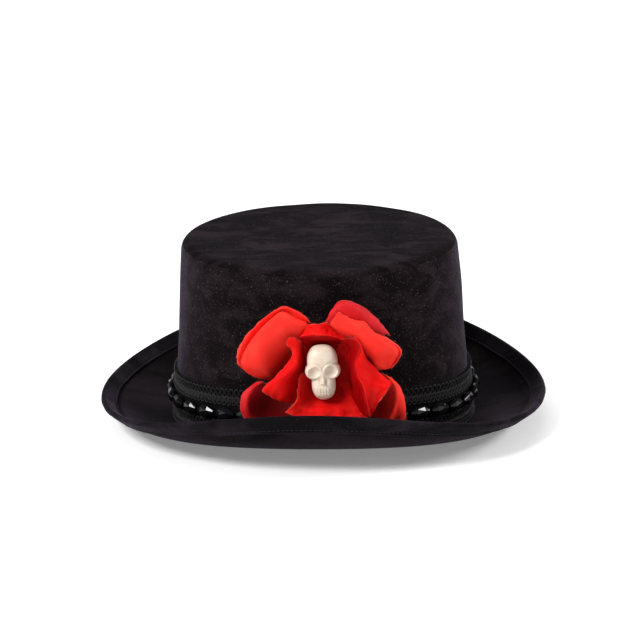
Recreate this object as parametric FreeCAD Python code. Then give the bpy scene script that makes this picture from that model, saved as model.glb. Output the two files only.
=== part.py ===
import FreeCAD, Part
import math
import os

# A costume top hat: a blocked crown, a wired brim curled up at both sides, a hatband of
# braid and cut beads, and a cloth flower with a small moulded skull at its centre.
# Frame: +X along the long axis of the head oval, -Y the side that carries the flower,
# +Z up. The origin is under the middle of the hat, on the surface it rests on.
# All sizes are in millimetres and degrees.

Vector = FreeCAD.Vector
os.makedirs("parts", exist_ok=True)

# ---- Head opening, measured inside the sweatband
HEAD_LENGTH = 199.0
HEAD_WIDTH = 164.0

# ---- Cloth, board and seams
CROWN_WALL = 1.5
COLLAR_THICKNESS = 1.2
SWEATBAND_THICKNESS = 1.0
LINING_THICKNESS = 0.4
SEAM_GAP = 0.15             # left between two faces that are sewn or glued together

# ---- Crown
HAT_HEIGHT = 131.0          # from the resting surface to the flat tip
CROWN_TAPER = 8.0           # how far the wall leans in, each side, up to the shoulder
SHOULDER_RADIUS = 7.5

# ---- Brim: a curved board whose cross-sections are arcs
BRIM_WIDTH = 55.3           # from the crown to the rim, along the curve
BRIM_THICKNESS = 2.6
SADDLE_RISE = 11.0          # how much higher the brim line runs at the sides
BRIM_START_SLOPE = -4.0
END_RIM_SLOPE = 40.7        # slope of the rim over the brow and the nape
SIDE_RIM_SLOPE = 90.0       # slope of the rim over the ears, where it stands upright
CURL_SHARPNESS = 3.1        # how late the curl sets in between the ends and the sides
COLLAR_HEIGHT = 15.0        # the turned-up edge of the brim, inside the crown

# ---- Rim: a wire hoop in a folded cloth binding
BINDING_WIDTH = 11.5
BINDING_CLOTH = 0.6
WIRE_DIAMETER = 1.5
WIRE_GAP = 0.2

# ---- Inside of the crown
SWEATBAND_HEIGHT = 29.0
LINING_OVERLAP = 11.0       # how far the lining hangs down behind the sweatband
LINING_GAP = 0.25

# ---- Hatband: a tape with two rows of braid and a row of cut beads between them
BAND_LIFT = 0.4             # the band's lower edge above the brim
TAPE_THICKNESS = 0.5
GIMP_WIDTH = 12.0
GIMP_THICKNESS = 1.8
GIMP_BEVEL = 0.6
BEAD_LENGTH = 15.5
BEAD_HEIGHT = 9.0
BEAD_DEPTH = 6.4
BEAD_SIDES = 6
BEAD_SPACING = 17.5         # centre to centre, before it is rounded to a whole number
BEAD_TIP = 0.36             # a bead's end against its belt
BEAD_BELT = 0.22            # the belts' distance from the middle, against the length
BEAD_CLEARANCE = 0.9        # between a bead and the braid above or below it

# ---- Flower
FLOWER_X = 7.0              # along the hat, from its middle
FLOWER_Z = 67.5             # height of its stem where it meets the crown
BACKING_RADIUS = 14.0
BACKING_THICKNESS = 1.2
FLANGE_RADIUS = 8.5
FLANGE_THICKNESS = 1.2
STEM_RADIUS = 4.0
STEM_END = 4.5              # the stem's length past the last petal, up to the skull
PETAL_CLOTH = 0.6
PETAL_GAP = 0.25            # between petals stacked on the stem, and to the stem
PETAL_ROOT = 0.24           # width of a petal's root against its full width
PETAL_WIDEST = 0.62         # where a petal is widest, along its length
PETAL_TIP_CUT = 1.5         # the last cross-section stops this far short of the tip

LARGE_PETAL_LENGTH = 57.0
MIDDLE_PETAL_LENGTH = 50.0
SMALL_PETAL_LENGTH = 44.0
INNER_PETAL_LENGTH = 46.0
INNER_PETAL_SHORT = 38.0
BROAD_PETAL_WIDTH = 56.0
MIDDLE_PETAL_WIDTH = 50.0
NARROW_PETAL_WIDTH = 44.0
SMALL_PETAL_WIDTH = 40.0

# The petals in the order in which they are threaded on the stem, from the crown outwards:
# direction round the stem, length, full width, slope at the root, slope at the tip
# and the angle by which each side edge comes forward.
PETALS = {
    "outer_petal_lower_left": (209.0, LARGE_PETAL_LENGTH, NARROW_PETAL_WIDTH, 11.0, 9.0, 12.0),
    "outer_petal_top": (60.0, MIDDLE_PETAL_LENGTH, NARROW_PETAL_WIDTH, 11.0, 6.0, 10.0),
    "outer_petal_bottom": (270.0, SMALL_PETAL_LENGTH, SMALL_PETAL_WIDTH, 12.5, 12.0, 4.0),
    "outer_petal_lower_right": (334.0, LARGE_PETAL_LENGTH, NARROW_PETAL_WIDTH, 14.0, 8.0, 10.0),
    "outer_petal_upper_left": (147.0, LARGE_PETAL_LENGTH, BROAD_PETAL_WIDTH, 15.0, 14.0, 22.0),
    "outer_petal_right": (29.0, LARGE_PETAL_LENGTH, MIDDLE_PETAL_WIDTH, 17.0, 8.0, 6.0),
    "inner_petal_top": (98.0, INNER_PETAL_SHORT, NARROW_PETAL_WIDTH, 18.0, 56.0, 16.0),
    "inner_petal_bottom": (264.0, INNER_PETAL_SHORT, NARROW_PETAL_WIDTH, 19.0, 48.0, 12.0),
    "inner_petal_left": (186.0, INNER_PETAL_LENGTH, NARROW_PETAL_WIDTH, 25.0, 42.0, 12.0),
    "inner_petal_right": (344.0, INNER_PETAL_LENGTH, NARROW_PETAL_WIDTH, 25.0, 42.0, 16.0),
}

# ---- Skull cabochon: flat at the back, moulded at the front
SKULL_HEIGHT = 38.0
SKULL_DEPTH = 10.0
SKULL_FULLNESS = 0.7        # below 1, the cheeks and temples are fuller than an oval
CRANIUM_WIDTH = 20.4
JAW_WIDTH = 15.5
SOCKET_DIAMETER = 11.4
SOCKET_SPACING = 11.6
SOCKET_RISE = 1.7           # the eye sockets' centre above the middle of the skull
SOCKET_STAND = 9.0          # the socket rims' height above the flat back
SOCKET_DISH = 2.4
SOCKET_RIM = 0.9
NOSE_WIDTH = 4.4
NOSE_LENGTH = 5.0
NOSE_DROP = 4.4
NOSE_STAND = 9.6
TOOTH_WIDTH = 2.0
TOOTH_HEIGHT = 6.0
TOOTH_DEPTH = 6.2           # from the flat back to the bottom of a groove between teeth
TOOTH_COUNT = 5
TOOTH_GROOVE = 0.45
TEETH_ABOVE_CHIN = 3.5

# ---- How finely the curves are laid out
OVAL_POINTS = 32
BRIM_STATIONS = 7
WALL_ROWS = 3
WIRE_SIDES = 6
BEAD_PATH_STEPS = 1440      # short steps that measure the way round the band
SHOULDER_STATIONS = 6
PETAL_STATIONS = 7
PETAL_CROWDING = 1.5        # how much closer the stations lie towards the round tip
PETAL_CROSS_POINTS = 7
SKULL_SIDES = 12
SKULL_HEAD_POINTS = 12


# ---------------------------------------------------------------- sizes that follow

COLLAR_DEPTH = CROWN_WALL + SEAM_GAP
SWEATBAND_DEPTH = COLLAR_DEPTH + COLLAR_THICKNESS + SEAM_GAP
HEAD_DEPTH = SWEATBAND_DEPTH + SWEATBAND_THICKNESS
HALF_LENGTH = HEAD_LENGTH / 2 + HEAD_DEPTH      # crown, outside, at the resting surface
HALF_WIDTH = HEAD_WIDTH / 2 + HEAD_DEPTH
WALL_LEAN = math.atan2(CROWN_TAPER, HAT_HEIGHT - SHOULDER_RADIUS)


def arc_run(length, start, end):
    """Run and rise of an arc of the given length whose slope goes from start to end."""
    turn = end - start
    if abs(turn) < 1e-6:
        return length * math.cos(start), length * math.sin(start)
    radius = length / turn
    return radius * (math.sin(end) - math.sin(start)), radius * (math.cos(start) - math.cos(end))


def lowest_dip():
    """How far the brim dips below its own start before it turns up at the ends."""
    start = math.radians(BRIM_START_SLOPE)
    if start >= 0:
        return 0.0
    radius = BRIM_WIDTH / (math.radians(END_RIM_SLOPE) - start)
    return radius * (1 - math.cos(start))


BRIM_LINE = BRIM_THICKNESS / 2 + lowest_dip()   # mid-surface of the brim at the ends


# ---------------------------------------------------------------- curves round the hat

def brim_line(t):
    """Height of the middle of the brim board where it meets the crown."""
    return BRIM_LINE + SADDLE_RISE * math.sin(t) ** 2


def crown_point(t, depth, z):
    """Point on the oval at angle t, a depth inside the crown's outline at the base."""
    return Vector((HALF_LENGTH - depth) * math.cos(t), (HALF_WIDTH - depth) * math.sin(t), z)


def wall_point(t, depth, above):
    """Point on the leaning wall, a depth inside its face, above the brim line."""
    z = brim_line(t) + above
    return crown_point(t, depth + z * math.tan(WALL_LEAN), z)


def oval_normal(t):
    """Outward direction of the oval at angle t, in the horizontal plane."""
    normal = Vector(math.cos(t) / HALF_LENGTH, math.sin(t) / HALF_WIDTH, 0)
    return normal.normalize()


def brim_point(t, out, offset):
    """Point on the brim: out along its curve from the crown, offset above mid-surface."""
    start = math.radians(BRIM_START_SLOPE)
    curl = abs(math.sin(t)) ** CURL_SHARPNESS
    rim = math.radians(END_RIM_SLOPE + (SIDE_RIM_SLOPE - END_RIM_SLOPE) * curl)
    slope = start + (rim - start) * out / BRIM_WIDTH
    run, rise = arc_run(out, start, slope) if out else (0.0, 0.0)
    run -= offset * math.sin(slope)
    rise += offset * math.cos(slope)
    return wall_point(t, 0, 0) + oval_normal(t) * run + Vector(0, 0, rise)


def closed_curve(point_at):
    """Smooth closed wire through the points that point_at gives round the oval."""
    step = 2 * math.pi / OVAL_POINTS
    curve = Part.BSplineCurve()
    curve.interpolate(Points=[point_at(i * step) for i in range(OVAL_POINTS)], PeriodicFlag=True)
    return Part.Wire(curve.toShape())


def flat_strip(wire, following):
    """Face of straight lines between two closed wires."""
    return Part.makeRuledSurface(wire.Edges[0], following.Edges[0])


def smooth_strip(wires):
    """Smooth face through a row of closed wires."""
    return Part.makeLoft(wires, False, False).Faces


def solid_of(faces):
    """Closed solid of faces that meet edge to edge."""
    sewn = Part.Compound(faces)
    sewn.sewShape(0.001)
    solid = Part.Solid(Part.Shell(sewn.Faces))
    if solid.Volume < 0:
        solid.reverse()
    return solid


def faceted_solid(sections):
    """Solid through rows of points: triangles between the rows, and a cap at each end."""
    def triangle(*corners):
        return Part.Face(Part.makePolygon(list(corners) + [corners[0]]))

    faces = []
    count = len(sections[0])
    for row, following in zip(sections, sections[1:]):
        for i in range(count):
            j = (i + 1) % count
            faces.append(triangle(row[i], row[j], following[i]))
            faces.append(triangle(row[j], following[j], following[i]))
    for row in (sections[0], sections[-1]):
        for i in range(1, count // 2):
            a, b, c, d = row[i - 1], row[i], row[-i - 1], row[-i]
            faces += [triangle(a, b, d), triangle(b, c, d)]
    return solid_of(faces)


def wall_strips(low_point, high_point):
    """Tall face between two curves of the wall, cut into rows of moderate height."""
    def between(share):
        return lambda t: low_point(t) * (1 - share) + high_point(t) * share

    wires = [closed_curve(between(share)) for share in steps(0, 1, WALL_ROWS + 1)]
    return wires, [flat_strip(wire, following) for wire, following in zip(wires, wires[1:])]


def ring_solid(corners):
    """Ring round the hat whose cross-section has the given corners, as point functions."""
    wires = [closed_curve(corner) for corner in corners]
    faces = []
    for wire, following in zip(wires, wires[1:] + wires[:1]):
        faces.append(flat_strip(wire, following))
    return solid_of(faces)


def steps(first, last, count):
    """Evenly spaced values from first to last."""
    return [first + (last - first) * i / (count - 1) for i in range(count)]


# ---------------------------------------------------------------- crown

def shoulder_points(depth):
    """Curves, as point functions, from the wall over the shoulder to the flat tip."""
    centre_z = HAT_HEIGHT - SHOULDER_RADIUS
    seam_z = centre_z + SHOULDER_RADIUS * math.sin(WALL_LEAN)
    centre_depth = seam_z * math.tan(WALL_LEAN) + SHOULDER_RADIUS * math.cos(WALL_LEAN)
    radius = SHOULDER_RADIUS - depth
    return [lambda t, angle=angle: crown_point(t, centre_depth - radius * math.cos(angle),
                                               centre_z + radius * math.sin(angle))
            for angle in steps(WALL_LEAN, math.pi / 2, SHOULDER_STATIONS)]


def make_crown_shell():
    """The blocked crown: leaning wall, rounded shoulder and flat tip in one piece."""
    board_rise = CROWN_WALL * math.tan(math.radians(max(0, -BRIM_START_SLOPE)))
    edge = BRIM_THICKNESS / 2 + board_rise + SEAM_GAP
    faces = []
    hems = []
    for depth in (0, CROWN_WALL):
        shoulder = shoulder_points(depth)
        rows, wall = wall_strips(lambda t: wall_point(t, depth, edge), shoulder[0])
        curves = [rows[-1]] + [closed_curve(point) for point in shoulder[1:]]
        faces += wall + [flat_strip(wire, following) for wire, following in zip(curves, curves[1:])]
        faces.append(Part.Face(curves[-1]))
        hems.append(rows[0])
    return solid_of(faces + [flat_strip(*hems)])


def make_lining_side():
    """The cloth lining of the crown's wall, hung from behind the sweatband."""
    low = SWEATBAND_HEIGHT - LINING_OVERLAP
    top = HAT_HEIGHT - SHOULDER_RADIUS
    faces = []
    hems = []
    brims = []
    for depth in (CROWN_WALL + LINING_GAP, CROWN_WALL + LINING_GAP + LINING_THICKNESS):
        rows, wall = wall_strips(lambda t: wall_point(t, depth, low),
                                 lambda t: crown_point(t, depth + top * math.tan(WALL_LEAN), top))
        faces += wall
        hems.append(rows[0])
        brims.append(rows[-1])
    return solid_of(faces + [flat_strip(*hems), flat_strip(*brims)])


def make_lining_tip():
    """The oval of lining cloth glued under the flat tip."""
    top = HAT_HEIGHT - CROWN_WALL - LINING_GAP
    depth = CROWN_TAPER + SHOULDER_RADIUS
    outline = closed_curve(lambda t: crown_point(t, depth, top))
    return Part.Face(outline).extrude(Vector(0, 0, -LINING_THICKNESS))


# ---------------------------------------------------------------- brim and rim

RIM_HALF = BRIM_THICKNESS / 2 + SEAM_GAP + BINDING_CLOTH     # half of the bound rim
WIRE_OUT = BRIM_WIDTH - BINDING_CLOTH - WIRE_GAP - WIRE_DIAMETER / 2
BOARD_OUT = WIRE_OUT - WIRE_DIAMETER / 2 - WIRE_GAP


def make_brim():
    """The brim board, with the collar that is turned up inside the crown."""
    half = BRIM_THICKNESS / 2
    inner = -(COLLAR_DEPTH + COLLAR_THICKNESS)
    outer = -COLLAR_DEPTH

    def face_curves(start, offset):
        return [closed_curve(lambda t: brim_point(t, out, offset))
                for out in steps(start, BOARD_OUT, BRIM_STATIONS)]

    under = face_curves(inner, -half)
    over = face_curves(outer, half)
    collar_inside = closed_curve(
        lambda t: wall_point(t, COLLAR_DEPTH + COLLAR_THICKNESS, COLLAR_HEIGHT))
    collar_outside = closed_curve(lambda t: wall_point(t, COLLAR_DEPTH, COLLAR_HEIGHT))
    faces = smooth_strip(under) + smooth_strip(over)
    corners = [over[0], collar_outside, collar_inside, under[0]]
    faces += [flat_strip(under[-1], over[-1])]
    faces += [flat_strip(wire, following) for wire, following in zip(corners, corners[1:])]
    return solid_of(faces)


def make_brim_wire():
    """The steel hoop that holds the rim's curve, with a many-sided section."""
    radius = WIRE_DIAMETER / 2

    def corner(i):
        angle = 2 * math.pi * i / WIRE_SIDES
        return lambda t: brim_point(t, WIRE_OUT + radius * math.cos(angle), radius * math.sin(angle))

    return ring_solid([corner(i) for i in range(WIRE_SIDES)])


def make_brim_binding():
    """The strip of cloth folded round the rim and stitched through the brim."""
    edge = BRIM_WIDTH - BINDING_WIDTH

    def fold(half):
        """Outline of one face of the folded cloth: over the rim and back."""
        bend = BRIM_WIDTH - RIM_HALF
        flat = steps(edge, bend, 3)
        outline = [(out, half) for out in flat]
        outline += [(bend + half * math.sin(angle), half * math.cos(angle))
                    for angle in (math.pi / 4, math.pi / 2, 3 * math.pi / 4)]
        return outline + [(out, -half) for out in reversed(flat)]

    outline = fold(RIM_HALF) + list(reversed(fold(RIM_HALF - BINDING_CLOTH)))
    return ring_solid([lambda t, o=out, m=offset: brim_point(t, o, m) for out, offset in outline])


# ---------------------------------------------------------------- sweatband

def make_sweatband():
    """The ribbon that lines the head opening, stitched to the collar's lower edge."""
    face = SWEATBAND_DEPTH
    back = SWEATBAND_DEPTH + SWEATBAND_THICKNESS
    low = -BRIM_THICKNESS / 2 + SEAM_GAP
    return ring_solid([
        lambda t: wall_point(t, face, low), lambda t: wall_point(t, face, SWEATBAND_HEIGHT),
        lambda t: wall_point(t, back, SWEATBAND_HEIGHT), lambda t: wall_point(t, back, low),
    ])


# ---------------------------------------------------------------- hatband

BEAD_ZONE = BEAD_HEIGHT + 2 * BEAD_CLEARANCE
BAND_BASE = BRIM_THICKNESS / 2 + BAND_LIFT
BEAD_MIDDLE = BAND_BASE + GIMP_WIDTH + BEAD_ZONE / 2
UPPER_GIMP_BASE = BAND_BASE + GIMP_WIDTH + BEAD_ZONE
BAND_TOP = UPPER_GIMP_BASE + GIMP_WIDTH
TAPE_FACE = SEAM_GAP + TAPE_THICKNESS           # how far the tape's face stands proud
TRIM_BACK = TAPE_FACE + SEAM_GAP


def make_band_tape():
    """The woven tape that carries the trimming and hides the crown's seam."""
    return ring_solid([
        lambda t: wall_point(t, -SEAM_GAP, BAND_BASE), lambda t: wall_point(t, -SEAM_GAP, BAND_TOP),
        lambda t: wall_point(t, -TAPE_FACE, BAND_TOP), lambda t: wall_point(t, -TAPE_FACE, BAND_BASE),
    ])


def make_gimp(base):
    """One row of braid, with its long edges bevelled."""
    front = TRIM_BACK + GIMP_THICKNESS
    side = front - GIMP_BEVEL
    top = base + GIMP_WIDTH
    section = [
        (TRIM_BACK, base), (side, base), (front, base + GIMP_BEVEL),
        (front, top - GIMP_BEVEL), (side, top), (TRIM_BACK, top),
    ]
    return ring_solid([lambda t, p=proud, a=above: wall_point(t, -p, a) for proud, above in section])


def cut_bead():
    """One many-sided cut bead about the origin, long in X, with a turned belt of facets."""
    def ring(x, scale, turn):
        points = []
        for i in range(BEAD_SIDES):
            angle = 2 * math.pi * (i + turn) / BEAD_SIDES
            points.append(Vector(x, scale * BEAD_DEPTH / 2 * math.cos(angle),
                                 scale * BEAD_HEIGHT / 2 * math.sin(angle)))
        return points

    belt = BEAD_LENGTH * BEAD_BELT
    rings = [ring(-BEAD_LENGTH / 2, BEAD_TIP, 0), ring(-belt, 1, 0),
             ring(belt, 1, 0.5), ring(BEAD_LENGTH / 2, BEAD_TIP, 0.5)]
    facets = [rings[0], rings[3]]
    for i in range(BEAD_SIDES):
        j = (i + 1) % BEAD_SIDES
        facets.append([rings[0][i], rings[0][j], rings[1][j], rings[1][i]])
        facets.append([rings[2][i], rings[2][j], rings[3][j], rings[3][i]])
        facets.append([rings[1][i], rings[1][j], rings[2][i]])
        facets.append([rings[1][j], rings[2][j], rings[2][i]])
    return solid_of([Part.Face(Part.makePolygon(facet + facet[:1])) for facet in facets])


def make_bead_row():
    """The row of cut beads, evenly spaced round the band and sewn to the tape."""
    proud = TRIM_BACK + BEAD_DEPTH / 2

    def path(t):
        return wall_point(t, -proud, BEAD_MIDDLE)

    turn_step = 2 * math.pi / BEAD_PATH_STEPS
    travelled = [0.0]
    for i in range(BEAD_PATH_STEPS):
        here, there = path(turn_step * i), path(turn_step * (i + 1))
        travelled.append(travelled[-1] + (there - here).Length)
    count = round(travelled[-1] / BEAD_SPACING)
    pattern = cut_bead()
    beads = []
    position = 0
    for k in range(count):
        while travelled[position] < (k + 0.5) * travelled[-1] / count:
            position += 1
        t = turn_step * position
        along = (path(t + turn_step / 2) - path(t - turn_step / 2)).normalize()
        outward = oval_normal(t)
        upward = along.cross(outward) * -1
        turn = FreeCAD.Rotation(along, upward.cross(along), upward, "XZY")
        bead = pattern.copy()
        bead.Placement = FreeCAD.Placement(path(t), turn)
        beads.append(bead)
    return Part.Compound(beads)


# ---------------------------------------------------------------- flower

def flower_frame():
    """Origin on the crown's wall, and the flower's right, up and outward directions."""
    depth = FLOWER_Z * math.tan(WALL_LEAN)
    t = -math.acos(FLOWER_X / (HALF_LENGTH - depth))
    level = oval_normal(t)
    outward = level * math.cos(WALL_LEAN) + Vector(0, 0, math.sin(WALL_LEAN))
    right = Vector(-level.y, level.x, 0)
    return crown_point(t, depth, FLOWER_Z), right, outward.cross(right), outward


FLOWER_ORIGIN, FLOWER_RIGHT, FLOWER_UP, FLOWER_OUT = flower_frame()
BACKING_TOP = SEAM_GAP + BACKING_THICKNESS
FLANGE_BASE = BACKING_TOP + SEAM_GAP
FLANGE_TOP = FLANGE_BASE + FLANGE_THICKNESS
PETAL_STEP = PETAL_CLOTH + PETAL_GAP
STEM_TOP = FLANGE_TOP + PETAL_GAP + len(PETALS) * PETAL_STEP + STEM_END


def on_flower(right, up, out):
    """Point in the hat's frame from distances in the flower's own directions."""
    return FLOWER_ORIGIN + FLOWER_RIGHT * right + FLOWER_UP * up + FLOWER_OUT * out


def flower_disc(radius, base, top):
    """Round disc about the flower's stem, between two distances from the crown."""
    return Part.makeCylinder(radius, top - base, on_flower(0, 0, base), FLOWER_OUT)


def make_flower_backing():
    """The felt disc glued to the crown, which the flower is stitched to."""
    return flower_disc(BACKING_RADIUS, SEAM_GAP, BACKING_TOP)


def make_flower_hub():
    """The moulded flange and stem that the petals are threaded on."""
    return flower_disc(FLANGE_RADIUS, FLANGE_BASE, FLANGE_TOP).fuse(
        flower_disc(STEM_RADIUS, FLANGE_BASE, STEM_TOP)).removeSplitter()


def petal_half_width(along, width):
    """Half width of a petal a share of the way along: narrow root, round tip."""
    if along < PETAL_WIDEST:
        rise = math.sin(math.pi / 2 * along / PETAL_WIDEST)
        return width / 2 * (PETAL_ROOT + (1 - PETAL_ROOT) * rise)
    return width / 2 * math.sqrt(1 - ((along - PETAL_WIDEST) / (1 - PETAL_WIDEST)) ** 2)


def make_petal(place, direction, length, width, root_slope, tip_slope, cup):
    """One cupped petal: arcs across it, set on an arc that leads out from the stem."""
    direction, root_slope, tip_slope, cup = map(
        math.radians, (direction, root_slope, tip_slope, cup))
    base = FLANGE_TOP + PETAL_GAP + (place + 0.5) * PETAL_STEP

    def point(along, across, offset):
        slope = root_slope + (tip_slope - root_slope) * along
        run, rise = arc_run(length * along, root_slope, slope) if along else (0.0, 0.0)
        radius = petal_half_width(along, width) / cup + (-offset)
        sideways = radius * math.sin(cup * across)
        lift = radius * (1 - math.cos(cup * across)) + offset
        reach = STEM_RADIUS + PETAL_GAP + run - lift * math.sin(slope)
        out = base + rise + lift * math.cos(slope)
        return on_flower(reach * math.cos(direction) - sideways * math.sin(direction),
                         reach * math.sin(direction) + sideways * math.cos(direction), out)

    last = 1 - PETAL_TIP_CUT / length
    sections = []
    for share in steps(0, 1, PETAL_STATIONS):
        along = last * (1 - (1 - share) ** PETAL_CROWDING)
        row = steps(-1, 1, PETAL_CROSS_POINTS)
        outline = [point(along, across, PETAL_CLOTH / 2) for across in row]
        outline += [point(along, across, -PETAL_CLOTH / 2) for across in reversed(row)]
        sections.append(outline)
    return faceted_solid(sections)


# ---------------------------------------------------------------- skull

SKULL_BACK = STEM_TOP + SEAM_GAP
BROW = CRANIUM_WIDTH / 2
JAW = JAW_WIDTH / 2
# The head from chin to crown: height in halves of the skull, half width, share of the depth
SKULL_LEVELS = [
    (-1.0, 0.5 * JAW, 0.42), (-0.92, 0.8 * JAW, 0.6), (-0.75, 0.98 * JAW, 0.72),
    (-0.3, JAW, 0.78), (0.0, 0.88 * BROW, 0.86), (0.3, 0.97 * BROW, 0.98),
    (0.6, BROW, 1.0), (0.82, 0.82 * BROW, 0.86), (0.95, 0.54 * BROW, 0.62),
    (1.0, 0.3 * BROW, 0.45),
]


def facet_cone(right, up, low, high, low_radius, high_radius):
    """Many-sided cone about the outward direction, from distance low to distance high."""
    wires = []
    for out, radius in ((low, low_radius), (high, high_radius)):
        ring = [on_flower(right + radius * math.cos(angle), up + radius * math.sin(angle), out)
                for angle in steps(0, 2 * math.pi, SKULL_SIDES + 1)]
        wires.append(Part.makePolygon(ring[:-1] + ring[:1]))
    return Part.makeLoft(wires, True, True)


def skull_head():
    """The plain head, with a flat back."""
    rows = []
    for height, half_width, share in SKULL_LEVELS:
        row = []
        for angle in steps(0, math.pi, SKULL_HEAD_POINTS):
            bulge = SKULL_DEPTH * share * math.sin(angle) ** SKULL_FULLNESS
            row.append(on_flower(half_width * math.cos(angle), SKULL_HEIGHT / 2 * height,
                                 SKULL_BACK + bulge))
        rows.append(row)
    return faceted_solid(rows)


def make_skull():
    """The small cast skull glued to the stem: ringed eye sockets, a nose and teeth."""
    skull = skull_head()
    rim = SOCKET_DIAMETER / 2
    top = SKULL_BACK + SOCKET_STAND
    places = (-SOCKET_SPACING / 2, SOCKET_SPACING / 2)
    for right in places:
        skull = skull.fuse(facet_cone(right, SOCKET_RISE, SKULL_BACK, top, rim, rim - SOCKET_RIM / 2))
    for right in places:
        skull = skull.cut(facet_cone(right, SOCKET_RISE, top - SOCKET_DISH, top + SOCKET_RIM,
                                     rim / 2, rim))
    nose_foot = SKULL_BACK + NOSE_STAND - NOSE_LENGTH / 2
    skull = skull.fuse(facet_cone(0, -NOSE_DROP, nose_foot, SKULL_BACK + NOSE_STAND,
                                  NOSE_WIDTH / 2, NOSE_WIDTH / 4))
    for i in range(TOOTH_COUNT + 1):
        groove = Part.makeBox(TOOTH_GROOVE, TOOTH_HEIGHT, SKULL_DEPTH)
        corner = on_flower(TOOTH_WIDTH * (i - TOOTH_COUNT / 2) - TOOTH_GROOVE / 2,
                           TEETH_ABOVE_CHIN - SKULL_HEIGHT / 2, SKULL_BACK + TOOTH_DEPTH)
        turn = FreeCAD.Rotation(FLOWER_RIGHT, FLOWER_UP, FLOWER_OUT, "XYZ")
        groove.Placement = FreeCAD.Placement(corner, turn)
        skull = skull.cut(groove)
    return skull


# ---------------------------------------------------------------- the pieces

PIECES = {
    "crown_shell": make_crown_shell(),
    "brim": make_brim(),
    "brim_wire": make_brim_wire(),
    "brim_binding": make_brim_binding(),
    "sweatband": make_sweatband(),
    "lining_side": make_lining_side(),
    "lining_tip": make_lining_tip(),
    "band_tape": make_band_tape(),
    "gimp_lower": make_gimp(BAND_BASE),
    "gimp_upper": make_gimp(UPPER_GIMP_BASE),
    "bead_row": make_bead_row(),
    "flower_backing": make_flower_backing(),
    "flower_hub": make_flower_hub(),
    "skull": make_skull(),
}
for place, (name, sizes) in enumerate(PETALS.items()):
    PIECES[name] = make_petal(place, *sizes)

for name, shape in PIECES.items():
    box = shape.BoundBox
    print(f"{name}: {len(shape.Solids)} solids, valid {shape.isValid()}, {shape.Volume:.0f} mm3, "
          f"x {box.XMin:.1f}..{box.XMax:.1f} y {box.YMin:.1f}..{box.YMax:.1f} "
          f"z {box.ZMin:.2f}..{box.ZMax:.2f}")
    shape.exportStep(f"parts/{name}.step")
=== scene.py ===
import math

import bpy
import numpy as np
from mathutils import Matrix, Vector, noise


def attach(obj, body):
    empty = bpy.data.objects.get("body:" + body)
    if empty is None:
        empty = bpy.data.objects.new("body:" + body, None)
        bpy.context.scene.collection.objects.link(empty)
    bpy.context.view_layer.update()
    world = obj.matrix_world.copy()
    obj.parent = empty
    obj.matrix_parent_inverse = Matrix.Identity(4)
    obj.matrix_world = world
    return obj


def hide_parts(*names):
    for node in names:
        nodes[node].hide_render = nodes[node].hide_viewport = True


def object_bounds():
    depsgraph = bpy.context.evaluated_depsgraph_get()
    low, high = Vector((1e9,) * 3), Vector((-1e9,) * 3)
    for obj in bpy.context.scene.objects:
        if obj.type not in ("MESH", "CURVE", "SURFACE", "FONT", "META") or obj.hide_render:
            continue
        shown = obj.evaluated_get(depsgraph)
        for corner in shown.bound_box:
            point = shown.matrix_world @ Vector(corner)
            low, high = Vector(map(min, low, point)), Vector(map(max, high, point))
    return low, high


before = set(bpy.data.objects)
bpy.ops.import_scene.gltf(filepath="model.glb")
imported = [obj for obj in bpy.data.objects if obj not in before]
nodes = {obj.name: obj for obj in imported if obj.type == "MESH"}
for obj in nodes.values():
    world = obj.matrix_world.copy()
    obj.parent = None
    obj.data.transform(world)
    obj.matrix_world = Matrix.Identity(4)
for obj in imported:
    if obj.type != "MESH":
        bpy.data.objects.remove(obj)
cad_low, cad_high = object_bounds()


# ---- Camera, table and lamps
# A long lens looks down on the front of the hat. A pale table takes its shadow, and
# three soft boxes light it in a white room that is darker overhead.

VIEW_TURN, VIEW_RISE, VIEW_ROLL = math.radians(4), math.radians(20.1), math.radians(1.44)
VIEW_DISTANCE, FARTHEST_SEEN = 2.6, 50
SENSOR_WIDTH, LENS = 36, 210.6                  # in millimetres, as Blender wants them
AIM = Vector((0, 0, 0.060))
AIM_OFFSET = (-0.0012, 0.0090)

back = Vector((math.sin(VIEW_TURN) * math.cos(VIEW_RISE),
               -math.cos(VIEW_TURN) * math.cos(VIEW_RISE), math.sin(VIEW_RISE)))
level_right = Vector((math.cos(VIEW_TURN), math.sin(VIEW_TURN), 0))
level_up = back.cross(level_right)
right = level_right * math.cos(VIEW_ROLL) - level_up * math.sin(VIEW_ROLL)
up = level_right * math.sin(VIEW_ROLL) + level_up * math.cos(VIEW_ROLL)
camera = bpy.data.objects.new("camera", bpy.data.cameras.new("camera"))
camera.data.sensor_width, camera.data.lens = SENSOR_WIDTH, LENS
camera.data.clip_end = FARTHEST_SEEN
camera.matrix_world = Matrix((right, up, back)).transposed().to_4x4()
camera.location = AIM + back * VIEW_DISTANCE + right * AIM_OFFSET[0] + up * AIM_OFFSET[1]
bpy.context.scene.collection.objects.link(camera)
bpy.context.scene.camera = camera


def add(tree, kind, **settings):
    """A node of that kind with its properties set."""
    made = tree.nodes.new(kind)
    for name, value in settings.items():
        setattr(made, name, value)
    return made


def wired(tree, made, **sources):
    """Links sockets, or sets plain values, on a node's inputs by name."""
    for label, source in sources.items():
        socket = made.inputs[label.replace("_", " ")]
        if isinstance(source, bpy.types.NodeSocket):
            tree.links.new(source, socket)
        else:
            socket.default_value = source
    return made


def maths(tree, operation, a, b=0):
    """One sum on two values, each a number or a socket."""
    made = add(tree, "ShaderNodeMath", operation=operation)
    for socket, value in zip(made.inputs, (a, b)):
        if isinstance(value, (int, float)):
            socket.default_value = value
        else:
            tree.links.new(value, socket)
    return made.outputs[0]


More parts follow.
